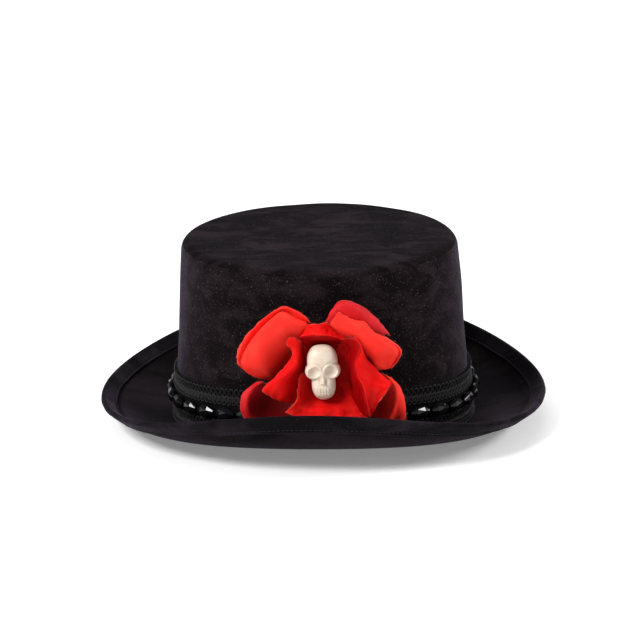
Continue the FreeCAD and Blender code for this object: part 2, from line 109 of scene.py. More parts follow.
def ranged(tree, value, low, high, to_low=0.0, to_high=1.0):
    """A value mapped smoothly from one range to another, and held at its ends."""
    made = add(tree, "ShaderNodeMapRange", interpolation_type="SMOOTHSTEP")
    wired(tree, made, Value=value, From_Min=low, From_Max=high, To_Min=to_low, To_Max=to_high)
    return made.outputs["Result"]


def seen_directly(tree):
    """1 for rays straight from the eye, off gloss or through glass, and 0 for light."""
    path = add(tree, "ShaderNodeLightPath")
    gloss = maths(tree, "MAXIMUM", path.outputs["Is Camera Ray"], path.outputs["Is Glossy Ray"])
    return maths(tree, "MAXIMUM", gloss, path.outputs["Is Transmission Ray"])


def finish_of(name, **fixed):
    """A material with one Principled shader and its constant sockets set."""
    made = bpy.data.materials.new(name)
    made.use_nodes = True
    shader = wired(made.node_tree, made.node_tree.nodes["Principled BSDF"], **fixed)
    return made, made.node_tree, shader


def own_place(tree):
    """The point being shaded, in the piece's own coordinates."""
    return add(tree, "ShaderNodeTexCoord").outputs["Object"]


def soft_box(name, place, width, height, power):
    """An oblong lamp turned towards the middle of the hat."""
    lamp = bpy.data.lights.new(name, "AREA")
    lamp.shape, lamp.size, lamp.size_y, lamp.energy = "RECTANGLE", width, height, power
    holder = bpy.data.objects.new(name, lamp)
    holder.location = place
    holder.rotation_mode = "QUATERNION"
    holder.rotation_quaternion = (AIM - Vector(place)).to_track_quat("-Z", "Y")
    bpy.context.scene.collection.objects.link(holder)


soft_box("box_left", (-1.05, -0.80, 1.25), 0.55, 0.55, 29)
soft_box("box_right", (1.29, 0.18, 0.78), 0.80, 0.24, 14)
soft_box("box_back", (-0.10, 1.15, 1.20), 1.3, 0.6, 8)

WHITE = (1, 1, 1, 1)
ROOM_FILL = 0.32                                # strength of the room's own light
CEILING_START, CEILING_END, CEILING_WHITE = 0.10, 0.34, 0.08    # as seen in gloss
room = bpy.data.worlds.new("room")
room.use_nodes = True
walls = room.node_tree
walls.nodes.clear()
heading = add(walls, "ShaderNodeTexCoord")
height = wired(walls, add(walls, "ShaderNodeSeparateXYZ"), Vector=heading.outputs["Generated"])
seen_white = ranged(walls, height.outputs["Z"], CEILING_START, CEILING_END, 1.0, CEILING_WHITE)
either = add(walls, "ShaderNodeMixShader")
walls.links.new(seen_directly(walls), either.inputs[0])
for socket, strength in ((either.inputs[1], ROOM_FILL), (either.inputs[2], seen_white)):
    light = wired(walls, add(walls, "ShaderNodeBackground"), Color=WHITE, Strength=strength)
    walls.links.new(light.outputs[0], socket)
wired(walls, add(walls, "ShaderNodeOutputWorld"), Surface=either.outputs[0])
bpy.context.scene.world = room
bpy.context.scene.view_settings.view_transform = "Standard"

TABLE_HALF, TABLE_DROP = 6.0, 0.0002
TABLE_GLOW, TABLE_GLOW_FAR = 0.21, 0.62         # the far table is lit as pale as the walls
GLOW_START, GLOW_END = 0.35, 1.5                # distances from the middle of the hat
table_mesh = bpy.data.meshes.new("table")
table_mesh.from_pydata([(x * TABLE_HALF, y * TABLE_HALF, -TABLE_DROP)
                        for x, y in ((-1, -1), (1, -1), (1, 1), (-1, 1))], [], [(0, 1, 2, 3)])
table = bpy.data.objects.new("table", table_mesh)
bpy.context.scene.collection.objects.link(table)
paint, tree, coat = finish_of("table_paint", Base_Color=(0.95, 0.95, 0.95, 1), Roughness=0.9,
                              Specular_IOR_Level=0.1, Emission_Color=WHITE)
away = add(tree, "ShaderNodeVectorMath", operation="LENGTH")
tree.links.new(own_place(tree), away.inputs[0])
glow = ranged(tree, away.outputs["Value"], GLOW_START, GLOW_END, TABLE_GLOW, TABLE_GLOW_FAR)
wired(tree, coat, Emission_Strength=maths(tree, "MULTIPLY", seen_directly(tree), glow))
table_mesh.materials.append(paint)


# ---- Crown
# A stiff board shape covered in black flocked cloth: a wall that leans in, a rounded
# shoulder and a flat tip. The cloth is glued on, so its nap lies in uneven strokes.

HALF_LENGTH, HALF_WIDTH = 0.1035, 0.0860        # outside of the crown at the table
HAT_HEIGHT = cad_high.z
SHOULDER_RADIUS = 0.0075
CROWN_WALL = 0.0015
WALL_LEAN = math.atan2(0.0080, HAT_HEIGHT - SHOULDER_RADIUS)
BRIM_THICKNESS = 0.0026
BRIM_LINE = cad_low.z + 0.001473                # middle of the brim board at the ends
SADDLE_RISE = 0.0110
CROWN_EDGE = BRIM_THICKNESS / 2 + 0.00025       # the cut edge of the wall, above the line
AROUND, WALL_ROWS, SHOULDER_ROWS, TIP_ROWS = 256, 43, 12, 25
TIP_HUB = 0.04                                  # the last row of the tip, as a share of its edge
turns = np.linspace(0, 2 * math.pi, AROUND, endpoint=False)


def brim_line(t):
    """Height at which the brim board meets the crown."""
    return BRIM_LINE + SADDLE_RISE * np.sin(t) ** 2


def oval_line(depth, z, t=turns):
    """Level oval, or one whose height and depth change round the hat."""
    z = np.broadcast_to(z, t.shape)
    return np.stack([(HALF_LENGTH - depth) * np.cos(t), (HALF_WIDTH - depth) * np.sin(t), z], -1)


def wall_line(depth, above, t=turns):
    """Line round the leaning wall, a depth inside its face, above the brim line."""
    z = brim_line(t) + above
    return oval_line(depth + z * math.tan(WALL_LEAN), z, t)


def outward(t=turns):
    """Level direction away from the oval."""
    flat = np.stack([np.cos(t) / HALF_LENGTH, np.sin(t) / HALF_WIDTH, 0 * t], -1)
    return flat / np.linalg.norm(flat, axis=1, keepdims=True)


def keep(name, points, faces, uv=None):
    """An object at the origin with a smooth mesh of these points and faces."""
    mesh = bpy.data.meshes.new(name)
    mesh.from_pydata(np.asarray(points).tolist(), [], faces)
    mesh.shade_smooth()
    if uv is not None:
        layer = mesh.uv_layers.new(name="cloth")
        corners = np.empty(len(mesh.loops), int)
        mesh.loops.foreach_get("vertex_index", corners)
        layer.data.foreach_set("uv", np.asarray(uv)[corners].astype(np.float32).ravel())
    made = bpy.data.objects.new(name, mesh)
    bpy.context.scene.collection.objects.link(made)
    return made


def round_skin(name, lines, joined):
    """Skin through closed lines. Joined, the last line meets the first. Otherwise the
    first and last lines each close in a point at their middle."""
    count, around = len(lines), len(lines[0])
    points = np.concatenate(lines)
    rows = list(range(count)) + ([0] if joined else [])
    steps = [(i, (i + 1) % around) for i in range(around)]
    faces = [(low * around + i, low * around + j, high * around + j, high * around + i)
             for low, high in zip(rows, rows[1:]) for i, j in steps]
    if not joined:
        points = np.concatenate([points, [lines[0].mean(0), lines[-1].mean(0)]])
        first, last = len(points) - 2, len(points) - 1
        end = (count - 1) * around
        for i, j in steps:
            faces += [(i, first, j), (end + i, end + j, last)]
    return keep(name, points, faces)


def crown_lines(depth, fall):
    """Lines from the hem of the crown over the shoulder to the middle of the tip."""
    centre_z = HAT_HEIGHT - SHOULDER_RADIUS
    seam_z = centre_z + SHOULDER_RADIUS * math.sin(WALL_LEAN)
    centre_depth = seam_z * math.tan(WALL_LEAN) + SHOULDER_RADIUS * math.cos(WALL_LEAN)
    radius = SHOULDER_RADIUS - depth
    hem = wall_line(depth, CROWN_EDGE)
    bend = [oval_line(centre_depth - radius * math.cos(a), centre_z + radius * math.sin(a))
            for a in np.linspace(WALL_LEAN, math.pi / 2, SHOULDER_ROWS)]
    rise = np.linspace(0, 1, WALL_ROWS + 1)[:-1]
    lines = [hem * (1 - s) + bend[0] * s for s in rise] + bend
    edge = bend[-1]
    for share in np.linspace(1, TIP_HUB, TIP_ROWS + 1)[1:]:
        inner = edge * np.array([share, share, 1.0])
        inner[:, 2] -= fall * (1 - share ** 2)
        lines.append(inner)
    return lines


def unevenness(points, size, height, seed):
    """Smooth bumps in a row of points, as high as given, about size across."""
    shift = Vector((seed * 7.1, seed * 3.3, seed * 5.7))
    return height * np.array([noise.noise(Vector(p) / size + shift) for p in points])


TIP_SAG = 0.0006
HELD_ROWS = 6                                   # rows of the wall that the brim holds
DENT_WIDTH, DENT_DEPTH, DIP_WIDTH, DIP_DEPTH = 0.035, 0.0007, 0.03, 0.0004
outer = crown_lines(0, TIP_SAG)
outside = outward()
for k, line in enumerate(outer):
    hold = min(1.0, k / HELD_ROWS)
    line[:, :2] += (outside * unevenness(line, DENT_WIDTH, DENT_DEPTH * hold, 1)[:, None])[:, :2]
    line[:, 2] += unevenness(line, DIP_WIDTH, DIP_DEPTH * hold, 2)
inner = crown_lines(CROWN_WALL, TIP_SAG)
crown = round_skin("crown_cover", list(reversed(inner)) + outer, joined=False)


def group_of(name, inputs, outputs):
    """An empty shader node group with its named sockets, and its two end nodes."""
    group = bpy.data.node_groups.new(name, "ShaderNodeTree")
    for label, kind, value in inputs:
        socket = group.interface.new_socket(label, in_out="INPUT", socket_type="NodeSocket" + kind)
        if value is not None:
            socket.default_value = value
    for label, kind in outputs:
        group.interface.new_socket(label, in_out="OUTPUT", socket_type="NodeSocket" + kind)
    return group, add(group, "NodeGroupInput"), add(group, "NodeGroupOutput")


def noise_of(tree, vector, scale, detail, roughness=0.5, distortion=0.0):
    """Noise over a vector, whose scale is a number or a socket."""
    made = add(tree, "ShaderNodeTexNoise")
    wired(tree, made, Vector=vector, Scale=scale, Detail=detail, Roughness=roughness,
          Distortion=distortion)
    return made.outputs["Fac"]


def blended(tree, share, a, b):
    """Colour a turning into colour b, each a colour or a socket."""
    made = add(tree, "ShaderNodeMix", data_type="RGBA")
    for socket, value in ((made.inputs[0], share), (made.inputs[6], a), (made.inputs[7], b)):
        if isinstance(value, (tuple, float)):
            socket.default_value = value
        else:
            tree.links.new(value, socket)
    return made.outputs[2]


def make_suede_group():
    """Flocked cloth: strokes in the nap, single pale fibres and a fine pile."""
    group, given, result = group_of(
        "flocked cloth",
        [("Vector", "Vector", None), ("Nap down", "Color", None), ("Nap up", "Color", None),
         ("Fibre", "Color", None), ("Stroke size", "Float", 40.0), ("Fibres", "Float", 0.5)],
        [("Color", "Color"), ("Roughness", "Float"), ("Height", "Float")])
    stretch = wired(group, add(group, "ShaderNodeMapping"), Vector=given.outputs["Vector"],
                    Scale=(0.45, 1.0, 1.0))
    strokes = noise_of(group, stretch.outputs[0], given.outputs["Stroke size"], 5, 0.62, 0.5)
    broad = ranged(group, strokes, 0.40, 0.68)
    fine = noise_of(group, given.outputs["Vector"], 900, 3, 0.7)
    pile = noise_of(group, given.outputs["Vector"], 2600, 2, 0.6)
    specks = maths(group, "MULTIPLY", ranged(group, fine, 0.60, 0.74), given.outputs["Fibres"])
    cloth = blended(group, broad, given.outputs["Nap down"], given.outputs["Nap up"])
    raised = maths(group, "ADD", maths(group, "MULTIPLY", pile, 0.5), maths(group, "MULTIPLY", fine, 0.5))
    wired(group, result, Color=blended(group, specks, cloth, given.outputs["Fibre"]),
          Roughness=ranged(group, broad, 0, 1, 0.95, 0.82),
          Height=maths(group, "ADD", raised, maths(group, "MULTIPLY", broad, 0.25)))
    return group


def raised_by(tree, shader, height, distance, strength=1.0):
    """A bump from a height, into the shader's normal."""
    bump = wired(tree, add(tree, "ShaderNodeBump"), Height=height, Distance=distance,
                 Strength=strength)
    wired(tree, shader, Normal=bump.outputs[0])


def laid_on(tree, shader, group, distance, strength, **values):
    """A node group placed in a material, giving its shader colour, gloss and relief."""
    made = wired(tree, add(tree, "ShaderNodeGroup", node_tree=group), **values)
    wired(tree, shader, Base_Color=made.outputs["Color"], Roughness=made.outputs["Roughness"])
    raised_by(tree, shader, made.outputs["Height"], distance, strength)


suede_group = make_suede_group()


def make_suede(name, down, nap_up, fibre, stroke, fibres, sheen=0.10):
    """Black flocked cloth for one part of the hat."""
    made, tree, shader = finish_of(name, Specular_IOR_Level=0.05, Sheen_Weight=sheen,
                                   Sheen_Roughness=0.30, Sheen_Tint=(0.86, 0.68, 1.0, 1))
    laid_on(tree, shader, suede_group, 0.0005, 0.6, Vector=own_place(tree), Nap_down=down,
            Nap_up=nap_up, Fibre=fibre, Stroke_size=stroke, Fibres=fibres)
    return made


crown_suede = make_suede("crown_suede", (0.0042, 0.0028, 0.0031, 1), (0.0140, 0.0092, 0.0106, 1),
                         (0.110, 0.092, 0.100, 1), 80.0, 0.95, 0.26)
crown.data.materials.append(crown_suede)
# The tip has a darker copy of the crown's cloth with less sheen: painted shade on the level top.
tip_suede = make_suede("tip_suede", (0.0034, 0.0023, 0.0026, 1), (0.0125, 0.0082, 0.0098, 1),
                       (0.080, 0.066, 0.072, 1), 70.0, 0.8, 0.035)
crown.data.materials.append(tip_suede)
LEVEL_ENOUGH = 0.6                              # upward share of the normal, for the tip's darker cloth of painted shade
for face in crown.data.polygons:
    face.material_index = int(face.normal.z > LEVEL_ENOUGH)
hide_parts("crown_shell")
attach(crown, "root")


# ---- Brim
# A stiff board under the same cloth. It dips at its root, curls up to the rim and stands
# upright over the ears, and its inner edge is turned up inside the crown as a collar.

BRIM_WIDTH = 0.0553
START_SLOPE, END_SLOPE, SIDE_SLOPE = math.radians(-4), math.radians(40.7), math.radians(90)
CURL_SHARPNESS = 3.1
COLLAR_DEPTH, COLLAR_THICKNESS, COLLAR_HEIGHT = 0.00165, 0.0012, 0.0150
BOARD_END = 0.05305
BOARD_ROWS, COLLAR_ROWS = 30, 4


def brim_point(out, offset, t=turns):
    """Line round the brim: out along its curve from the crown, off its middle surface."""
    rim = END_SLOPE + (SIDE_SLOPE - END_SLOPE) * np.abs(np.sin(t)) ** CURL_SHARPNESS
    bend = (rim - START_SLOPE) / BRIM_WIDTH
    slope = START_SLOPE + bend * out
    run = (np.sin(slope) - math.sin(START_SLOPE)) / bend - offset * np.sin(slope)
    rise = (math.cos(START_SLOPE) - np.cos(slope)) / bend + offset * np.cos(slope)
    line = wall_line(0, 0, t) + outward(t) * run[:, None]
    line[:, 2] += rise
    return line


half_board = BRIM_THICKNESS / 2
collar_in = COLLAR_DEPTH + COLLAR_THICKNESS
brim_under = [brim_point(out, -half_board) for out in np.linspace(-collar_in, BOARD_END, BOARD_ROWS)]
brim_over = [brim_point(out, half_board) for out in np.linspace(BOARD_END, -COLLAR_DEPTH, BOARD_ROWS)]
climb = np.linspace(0, 1, COLLAR_ROWS + 1)
collar_out = [brim_over[-1] * (1 - s) + wall_line(COLLAR_DEPTH, COLLAR_HEIGHT) * s for s in climb[1:]]
collar_back = [wall_line(collar_in, COLLAR_HEIGHT) * (1 - s) + brim_under[0] * s for s in climb[:-1]]
brim = round_skin("brim_cover", brim_under + brim_over + collar_out + collar_back, joined=True)
brim_suede = make_suede("brim_suede", (0.0030, 0.0021, 0.0026, 1), (0.012, 0.0085, 0.0105, 1),
                        (0.060, 0.050, 0.054, 1), 28.0, 0.5)
brim.data.materials.append(brim_suede)
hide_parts("brim")
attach(brim, "root")


# ---- Rim binding
# A strip of the hat's cloth folded over the rim wire, turned under and stitched through
# the brim with black thread. The wire holds the curl, and shows only as a firm edge.

BINDING_WIDTH, BINDING_CLOTH, BINDING_LIFT = 0.0115, 0.0006, 0.00205
TURNED_EDGE, TURNED_WIDTH, TURNED_HEIGHT = 0.0004, 0.0007, 0.00035
STITCH_INSET, VALLEY_WIDTH, VALLEY_DEPTH = 0.0016, 0.0006, 0.00030
SEWN_WIDTH, PLAIN_FROM = 0.0034, 0.0045         # rows lie closest together where it is sewn
PUCKER_WIDTH, PUCKER_DEPTH, WAVE_WIDTH, WAVE_DEPTH = 0.012, 0.00030, 0.009, 0.00025
binding_edge = BRIM_WIDTH - BINDING_WIDTH
fold_centre = BRIM_WIDTH - BINDING_LIFT


def hump(distance, width):
    """A smooth hump, one at its middle."""
    return np.exp(-(distance / width) ** 2)


def binding_lift(out):
    """Height of the binding over the board's middle: turned edge, stitch valley, flat."""
    from_edge = out - binding_edge
    turned = TURNED_HEIGHT * hump(from_edge - TURNED_EDGE, TURNED_WIDTH)
    valley = VALLEY_DEPTH * hump(from_edge - STITCH_INSET, VALLEY_WIDTH)
    return BINDING_LIFT + turned - valley


face_outs = [*np.linspace(binding_edge, binding_edge + SEWN_WIDTH, 14),
             *np.linspace(binding_edge + PLAIN_FROM, fold_centre, 7)]
profile = [(out, binding_lift(out)) for out in face_outs]
profile += [(fold_centre + BINDING_LIFT * math.sin(a), BINDING_LIFT * math.cos(a))
            for a in np.linspace(0, math.pi, 14)[1:-1]]
profile += [(out, -lift) for out, lift in reversed(profile[:len(face_outs)])]
inside_lift = BINDING_LIFT - BINDING_CLOTH
profile += [(out, -inside_lift) for out in (binding_edge, fold_centre)]
profile += [(fold_centre + inside_lift * math.sin(a), -inside_lift * math.cos(a))
            for a in np.linspace(0, math.pi, 8)[1:-1]]
profile += [(out, inside_lift) for out in (fold_centre, binding_edge)]
binding_lines = []
for out, lift in profile:
    line = brim_point(out, lift)
    if abs(lift) > inside_lift + 1e-5:
        line += outside * unevenness(line, PUCKER_WIDTH, PUCKER_DEPTH, 3)[:, None]
        line[:, 2] += unevenness(line, WAVE_WIDTH, WAVE_DEPTH, 4)
    binding_lines.append(line)
binding = round_skin("brim_binding_cloth", binding_lines, joined=True)
binding_suede = make_suede("binding_suede", (0.0050, 0.0040, 0.0048, 1), (0.018, 0.014, 0.019, 1),
                           (0.060, 0.050, 0.056, 1), 45.0, 0.5)
binding.data.materials.append(binding_suede)
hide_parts("brim_binding")
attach(binding, "root")


def girth_of(line):
    """Length of a closed line."""
    return float(np.linalg.norm(np.roll(line, 1, 0) - line, axis=1).sum())


rim_length = girth_of(brim_point(BRIM_WIDTH, 0))


def geometry_tree(name, inputs):
    """A geometry node tree with a geometry input, named inputs and a geometry output."""
    tree = bpy.data.node_groups.new(name, "GeometryNodeTree")
    for label, kind, value in [("Geometry", "Geometry", None)] + inputs:
        socket = tree.interface.new_socket(label, in_out="INPUT", socket_type="NodeSocket" + kind)
        if value is not None:
            socket.default_value = value
    tree.interface.new_socket("Geometry", in_out="OUTPUT", socket_type="NodeSocketGeometry")
    return tree, add(tree, "NodeGroupInput"), add(tree, "NodeGroupOutput")


def grown(name, tree, guide, **values):
    """What a node tree makes of a guide mesh, as a plain mesh object at the origin."""
    carrier = bpy.data.objects.new(name + "_guide", guide)
    bpy.context.scene.collection.objects.link(carrier)
    modifier = carrier.modifiers.new("grow", "NODES")
    modifier.node_group = tree
    for item in tree.interface.items_tree:
        if item.in_out == "INPUT" and item.name.replace(" ", "_") in values:
            modifier[item.identifier] = values[item.name.replace(" ", "_")]
    bpy.context.view_layer.update()
    shaped = carrier.evaluated_get(bpy.context.evaluated_depsgraph_get())
    mesh = bpy.data.meshes.new_from_object(shaped, preserve_all_data_layers=True,
                                           depsgraph=bpy.context.evaluated_depsgraph_get())
    carrier.modifiers.clear()
    bpy.data.objects.remove(carrier)
    mesh.name = name
    made = bpy.data.objects.new(name, mesh)
    bpy.context.scene.collection.objects.link(made)
    return made


def path_mesh(name, line, facing, closed=True):
    """A line of edges that carries the direction away from the cloth it lies on."""
    mesh = bpy.data.meshes.new(name)
    count = len(line)
    edges = [(i, (i + 1) % count) for i in range(count if closed else count - 1)]
    mesh.from_pydata(np.asarray(line).tolist(), edges, [])
    layer = mesh.attributes.new("facing", "FLOAT_VECTOR", "POINT")
    layer.data.foreach_set("vector", np.asarray(facing).astype(np.float32).ravel())
    return mesh


def spots_along(tree, given, mode, **step):
    """Evenly spaced points along the guide, and the way out of the cloth at each."""
    curve = wired(tree, add(tree, "GeometryNodeMeshToCurve"), Mesh=given.outputs["Geometry"])
    spaced = wired(tree, add(tree, "GeometryNodeResampleCurve", mode=mode),
                   Curve=curve.outputs[0], **step)
    facing = wired(tree, add(tree, "GeometryNodeInputNamedAttribute", data_type="FLOAT_VECTOR"),
                   Name="facing")
    return spaced.outputs[0], facing.outputs[0]


def laid_along(tree, facing, axis):
    """A turn that lays X along the path and points the given axis out of the cloth."""
    tangent = add(tree, "GeometryNodeInputTangent")
    along = wired(tree, add(tree, "FunctionNodeAlignRotationToVector", axis="X"),
                  Vector=tangent.outputs[0])
    upright = add(tree, "FunctionNodeAlignRotationToVector", axis=axis, pivot_axis="X")
    return wired(tree, upright, Rotation=along.outputs[0], Vector=facing).outputs[0]


def completed(tree, given, result, geometry, smooth=True):
    """Ends a tree: its geometry is smoothed, made real and given its finish."""
    if smooth:
        rounded = wired(tree, add(tree, "GeometryNodeSetShadeSmooth"), Geometry=geometry)
        geometry = rounded.outputs[0]
    real = wired(tree, add(tree, "GeometryNodeRealizeInstances"), Geometry=geometry)
    done = wired(tree, add(tree, "GeometryNodeSetMaterial"), Geometry=real.outputs[0],
                 Material=given.outputs["Finish"])
    tree.links.new(done.outputs[0], result.inputs[0])
    return tree


def make_stitch_tree():
    """A row of short thread stitches along a path."""
    tree, given, result = geometry_tree("stitch row", [
        ("Pitch", "Float", 0.003), ("Stitch length", "Float", 0.002),
        ("Thread", "Float", 0.0005), ("Finish", "Material", None)])
    points, facing = spots_along(tree, given, "LENGTH", Length=given.outputs["Pitch"])
    stitch = wired(tree, add(tree, "GeometryNodeMeshUVSphere"), Segments=6, Rings=4, Radius=0.5)
    size = wired(tree, add(tree, "ShaderNodeCombineXYZ"), X=given.outputs["Stitch length"],
                 Y=given.outputs["Thread"], Z=given.outputs["Thread"])
    placed = wired(tree, add(tree, "GeometryNodeInstanceOnPoints"), Points=points,
                   Instance=stitch.outputs["Mesh"], Rotation=laid_along(tree, facing, "Z"),
                   Scale=size.outputs[0])
    return completed(tree, given, result, placed.outputs[0])


def make_thread_finish(name, colour, rough):
    """Spun thread, with a fine twist in its gloss."""
    made, tree, shader = finish_of(name, Specular_IOR_Level=0.28)
    twist = noise_of(tree, own_place(tree), 2200, 2, 0.6)
    dim = tuple(c * 0.55 for c in colour[:3]) + (1,)
    wired(tree, shader, Base_Color=blended(tree, ranged(tree, twist, 0.35, 0.65), dim, colour),
          Roughness=ranged(tree, twist, 0.3, 0.7, rough, rough + 0.25))
    raised_by(tree, shader, twist, 0.0002, 0.7)
    return made


black_thread = make_thread_finish("black_thread", (0.012, 0.011, 0.012, 1), 0.45)
stitch_tree = make_stitch_tree()


def brim_facing(out, side, t=turns):
    """Direction away from the brim's upper face, or from its under face."""
    away = brim_point(out, 0.001, t) - brim_point(out, 0, t)
    return side * away / np.linalg.norm(away, axis=1, keepdims=True)


STITCH_PITCH, STITCH_LENGTH, STITCH_THREAD, STITCH_PROUD = 0.0031, 0.0023, 0.00052, 0.00008
stitch_out = binding_edge + STITCH_INSET
for label, side in (("over", 1), ("under", -1)):
    lift = side * (binding_lift(stitch_out) + STITCH_PROUD)
    path = path_mesh("rim_stitch_path", brim_point(stitch_out, lift), brim_facing(stitch_out, side))
    row = grown(f"rim_stitches_{label}", stitch_tree, path, Pitch=STITCH_PITCH,
                Stitch_length=STITCH_LENGTH, Thread=STITCH_THREAD, Finish=black_thread)
    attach(row, "root")



def mottled(name, scale, detail, dark, pale, rough, worn=0.7, **fixed):
    """A plain hard material, whose colour and gloss drift a little over its surface."""
    made, tree, shader = finish_of(name, **fixed)
    drift = noise_of(tree, own_place(tree), scale, detail)
    wired(tree, shader, Base_Color=blended(tree, drift, dark, pale),
          Roughness=ranged(tree, drift, 0.3, worn, *rough))
    return made


def dress(node, finish):
    """Gives a piece that keeps its own shape its finish."""
    node.data.materials.clear()
    node.data.materials.append(finish)


steel = mottled("rim_wire_steel", 600, 3, (0.42, 0.42, 0.43, 1), (0.60, 0.60, 0.61, 1),
                (0.28, 0.45), Metallic=1.0, Specular_IOR_Level=0.5)
dress(nodes["brim_wire"], steel)


# ---- Sweatband and lining
# A ribbed black ribbon is stitched to the collar inside the head opening. Behind its
# upper edge hangs a satin sleeve, and a satin oval is glued under the tip.

SWEATBAND_DEPTH, SWEATBAND_THICKNESS, SWEATBAND_HEIGHT = 0.0030, 0.0007, 0.0290
SWEATBAND_SWELL, SWEATBAND_HEM = 0.0003, 0.00015


def make_ribbon_group():
    """Ribbed ribbon: fine cords that run across it, and a gloss worn in patches."""
    group, given, result = group_of(
        "ribbed ribbon",
        [("Vector", "Vector", None), ("Rib", "Color", None), ("Groove", "Color", None),
         ("Ribs", "Float", 1200.0)],
        [("Color", "Color"), ("Roughness", "Float"), ("Height", "Float")])
    parts = wired(group, add(group, "ShaderNodeSeparateXYZ"), Vector=given.outputs["Vector"])
    wave = maths(group, "SINE", maths(group, "MULTIPLY", parts.outputs["X"], given.outputs["Ribs"]))
    rib = ranged(group, wave, -1, 1)
    worn = noise_of(group, given.outputs["Vector"], 60, 4, 0.6)
    wired(group, result, Color=blended(group, rib, given.outputs["Groove"], given.outputs["Rib"]),
          Roughness=ranged(group, worn, 0.3, 0.7, 0.45, 0.65), Height=rib)
    return group


ribbon_group = make_ribbon_group()


def lengths_along(line):
    """Distance from the start of a line to each of its points."""
    steps = np.linalg.norm(np.diff(line, axis=0), axis=1)
    return np.concatenate([[0], np.cumsum(steps)])


def band_skin(name, section):
    """Closed ring whose cross-section is given as (depth, above) pairs, with a cloth map
    in metres: round the hat, and along the section."""
    lines = [wall_line(depth, above) for depth, above in section]
    made = round_skin(name, lines, joined=True)
    layer = made.data.uv_layers.new(name="cloth")
    step = girth_of(lines[0]) / AROUND
    heights = lengths_along(section + section[:1])
    for face in made.data.polygons:
        row, i = divmod(face.index, AROUND)
        corner_uv = [(i, row), (i + 1, row), (i + 1, row + 1), (i, row + 1)]
        for loop, (u, v) in zip(face.loop_indices, corner_uv):
            layer.data[loop].uv = (u * step, heights[v])
    return made


def ribbon_section(depth, thickness, low, high, bulge, rows=9):
    """Cross-section of a flat ribbon that swells a little in its middle."""
    rise = np.linspace(low, high, rows)
    swell = bulge * np.sin(np.linspace(0, math.pi, rows))
    front = [(depth + thickness + s, z) for s, z in zip(swell, rise)]
    rear = [(depth, z) for z in reversed(rise)]
    return rear + front


sweatband = band_skin("sweatband_ribbon", ribbon_section(
    SWEATBAND_DEPTH, SWEATBAND_THICKNESS, SWEATBAND_HEM - half_board, SWEATBAND_HEIGHT,
    SWEATBAND_SWELL))
ribbon, tree, shader = finish_of("sweatband_ribbon", Specular_IOR_Level=0.35, Sheen_Weight=0.15)
RIB_PITCH = 0.0011
cloth_place = add(tree, "ShaderNodeUVMap", uv_map="cloth").outputs[0]
laid_on(tree, shader, ribbon_group, 0.00025, 1.0, Vector=cloth_place, Rib=(0.020, 0.019, 0.021, 1),
        Groove=(0.006, 0.006, 0.007, 1), Ribs=2 * math.pi / RIB_PITCH)
sweatband.data.materials.append(ribbon)
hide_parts("sweatband")
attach(sweatband, "root")

satin, tree, shader = finish_of("lining_satin", Specular_IOR_Level=0.5, Sheen_Weight=0.2)
place = own_place(tree)
stretch = wired(tree, add(tree, "ShaderNodeMapping"), Vector=place, Scale=(1, 1, 0.12))
folds = noise_of(tree, stretch.outputs[0], 130, 3)
floats = noise_of(tree, place, 3000, 1)
# The colour follows the fold bumps: painted shade in their hollows, lighter on their crests.
wired(tree, shader, Base_Color=blended(tree, ranged(tree, folds, 0.3, 0.7), (0.008, 0.008, 0.009, 1),
                                       (0.022, 0.021, 0.024, 1)),
      Roughness=ranged(tree, floats, 0.3, 0.7, 0.28, 0.42))
raised_by(tree, shader, maths(tree, "ADD", maths(tree, "MULTIPLY", folds, 0.9),
                              maths(tree, "MULTIPLY", floats, 0.1)), 0.0008, 0.6)
dress(nodes["lining_side"], satin)
dress(nodes["lining_tip"], satin)


# ---- Hatband
# A woven tape carries two rows of scroll braid and, between them, cut black beads. The
# braid is plaited from round black rayon cords: open loops above and below a plait.

BAND_CLEARANCE = 0.0004
BAND_BASE = half_board + BAND_CLEARANCE
GIMP_WIDTH = 0.0120
BEAD_ZONE = 0.0108
TRIM_BACK = 0.0008
UPPER_BASE = BAND_BASE + GIMP_WIDTH + BEAD_ZONE

tape, tree, shader = finish_of("band_tape_weave", Specular_IOR_Level=0.05)
weave = wired(tree, add(tree, "ShaderNodeTexWave", bands_direction="Z"), Vector=own_place(tree),
              Scale=600).outputs["Fac"]
wired(tree, shader, Base_Color=blended(tree, weave, (0.002, 0.002, 0.0025, 1), (0.006, 0.0055, 0.0065, 1)),
      Roughness=ranged(tree, weave, 0, 1, 0.75, 0.6))
raised_by(tree, shader, weave, 0.0002)
dress(nodes["band_tape"], tape)


MAP_EDGE = 0.0005                               # cords stop this short of the guide's ends


def cord_along(tree, curve, radius, sides):
    """A round cord along a curve, closed at its ends."""
    section = wired(tree, add(tree, "GeometryNodeCurvePrimitiveCircle"), Resolution=sides, Radius=radius)
    cord = wired(tree, add(tree, "GeometryNodeCurveToMesh"), Curve=curve,
                 Profile_Curve=section.outputs["Curve"], Fill_Caps=True)
    return cord.outputs[0]


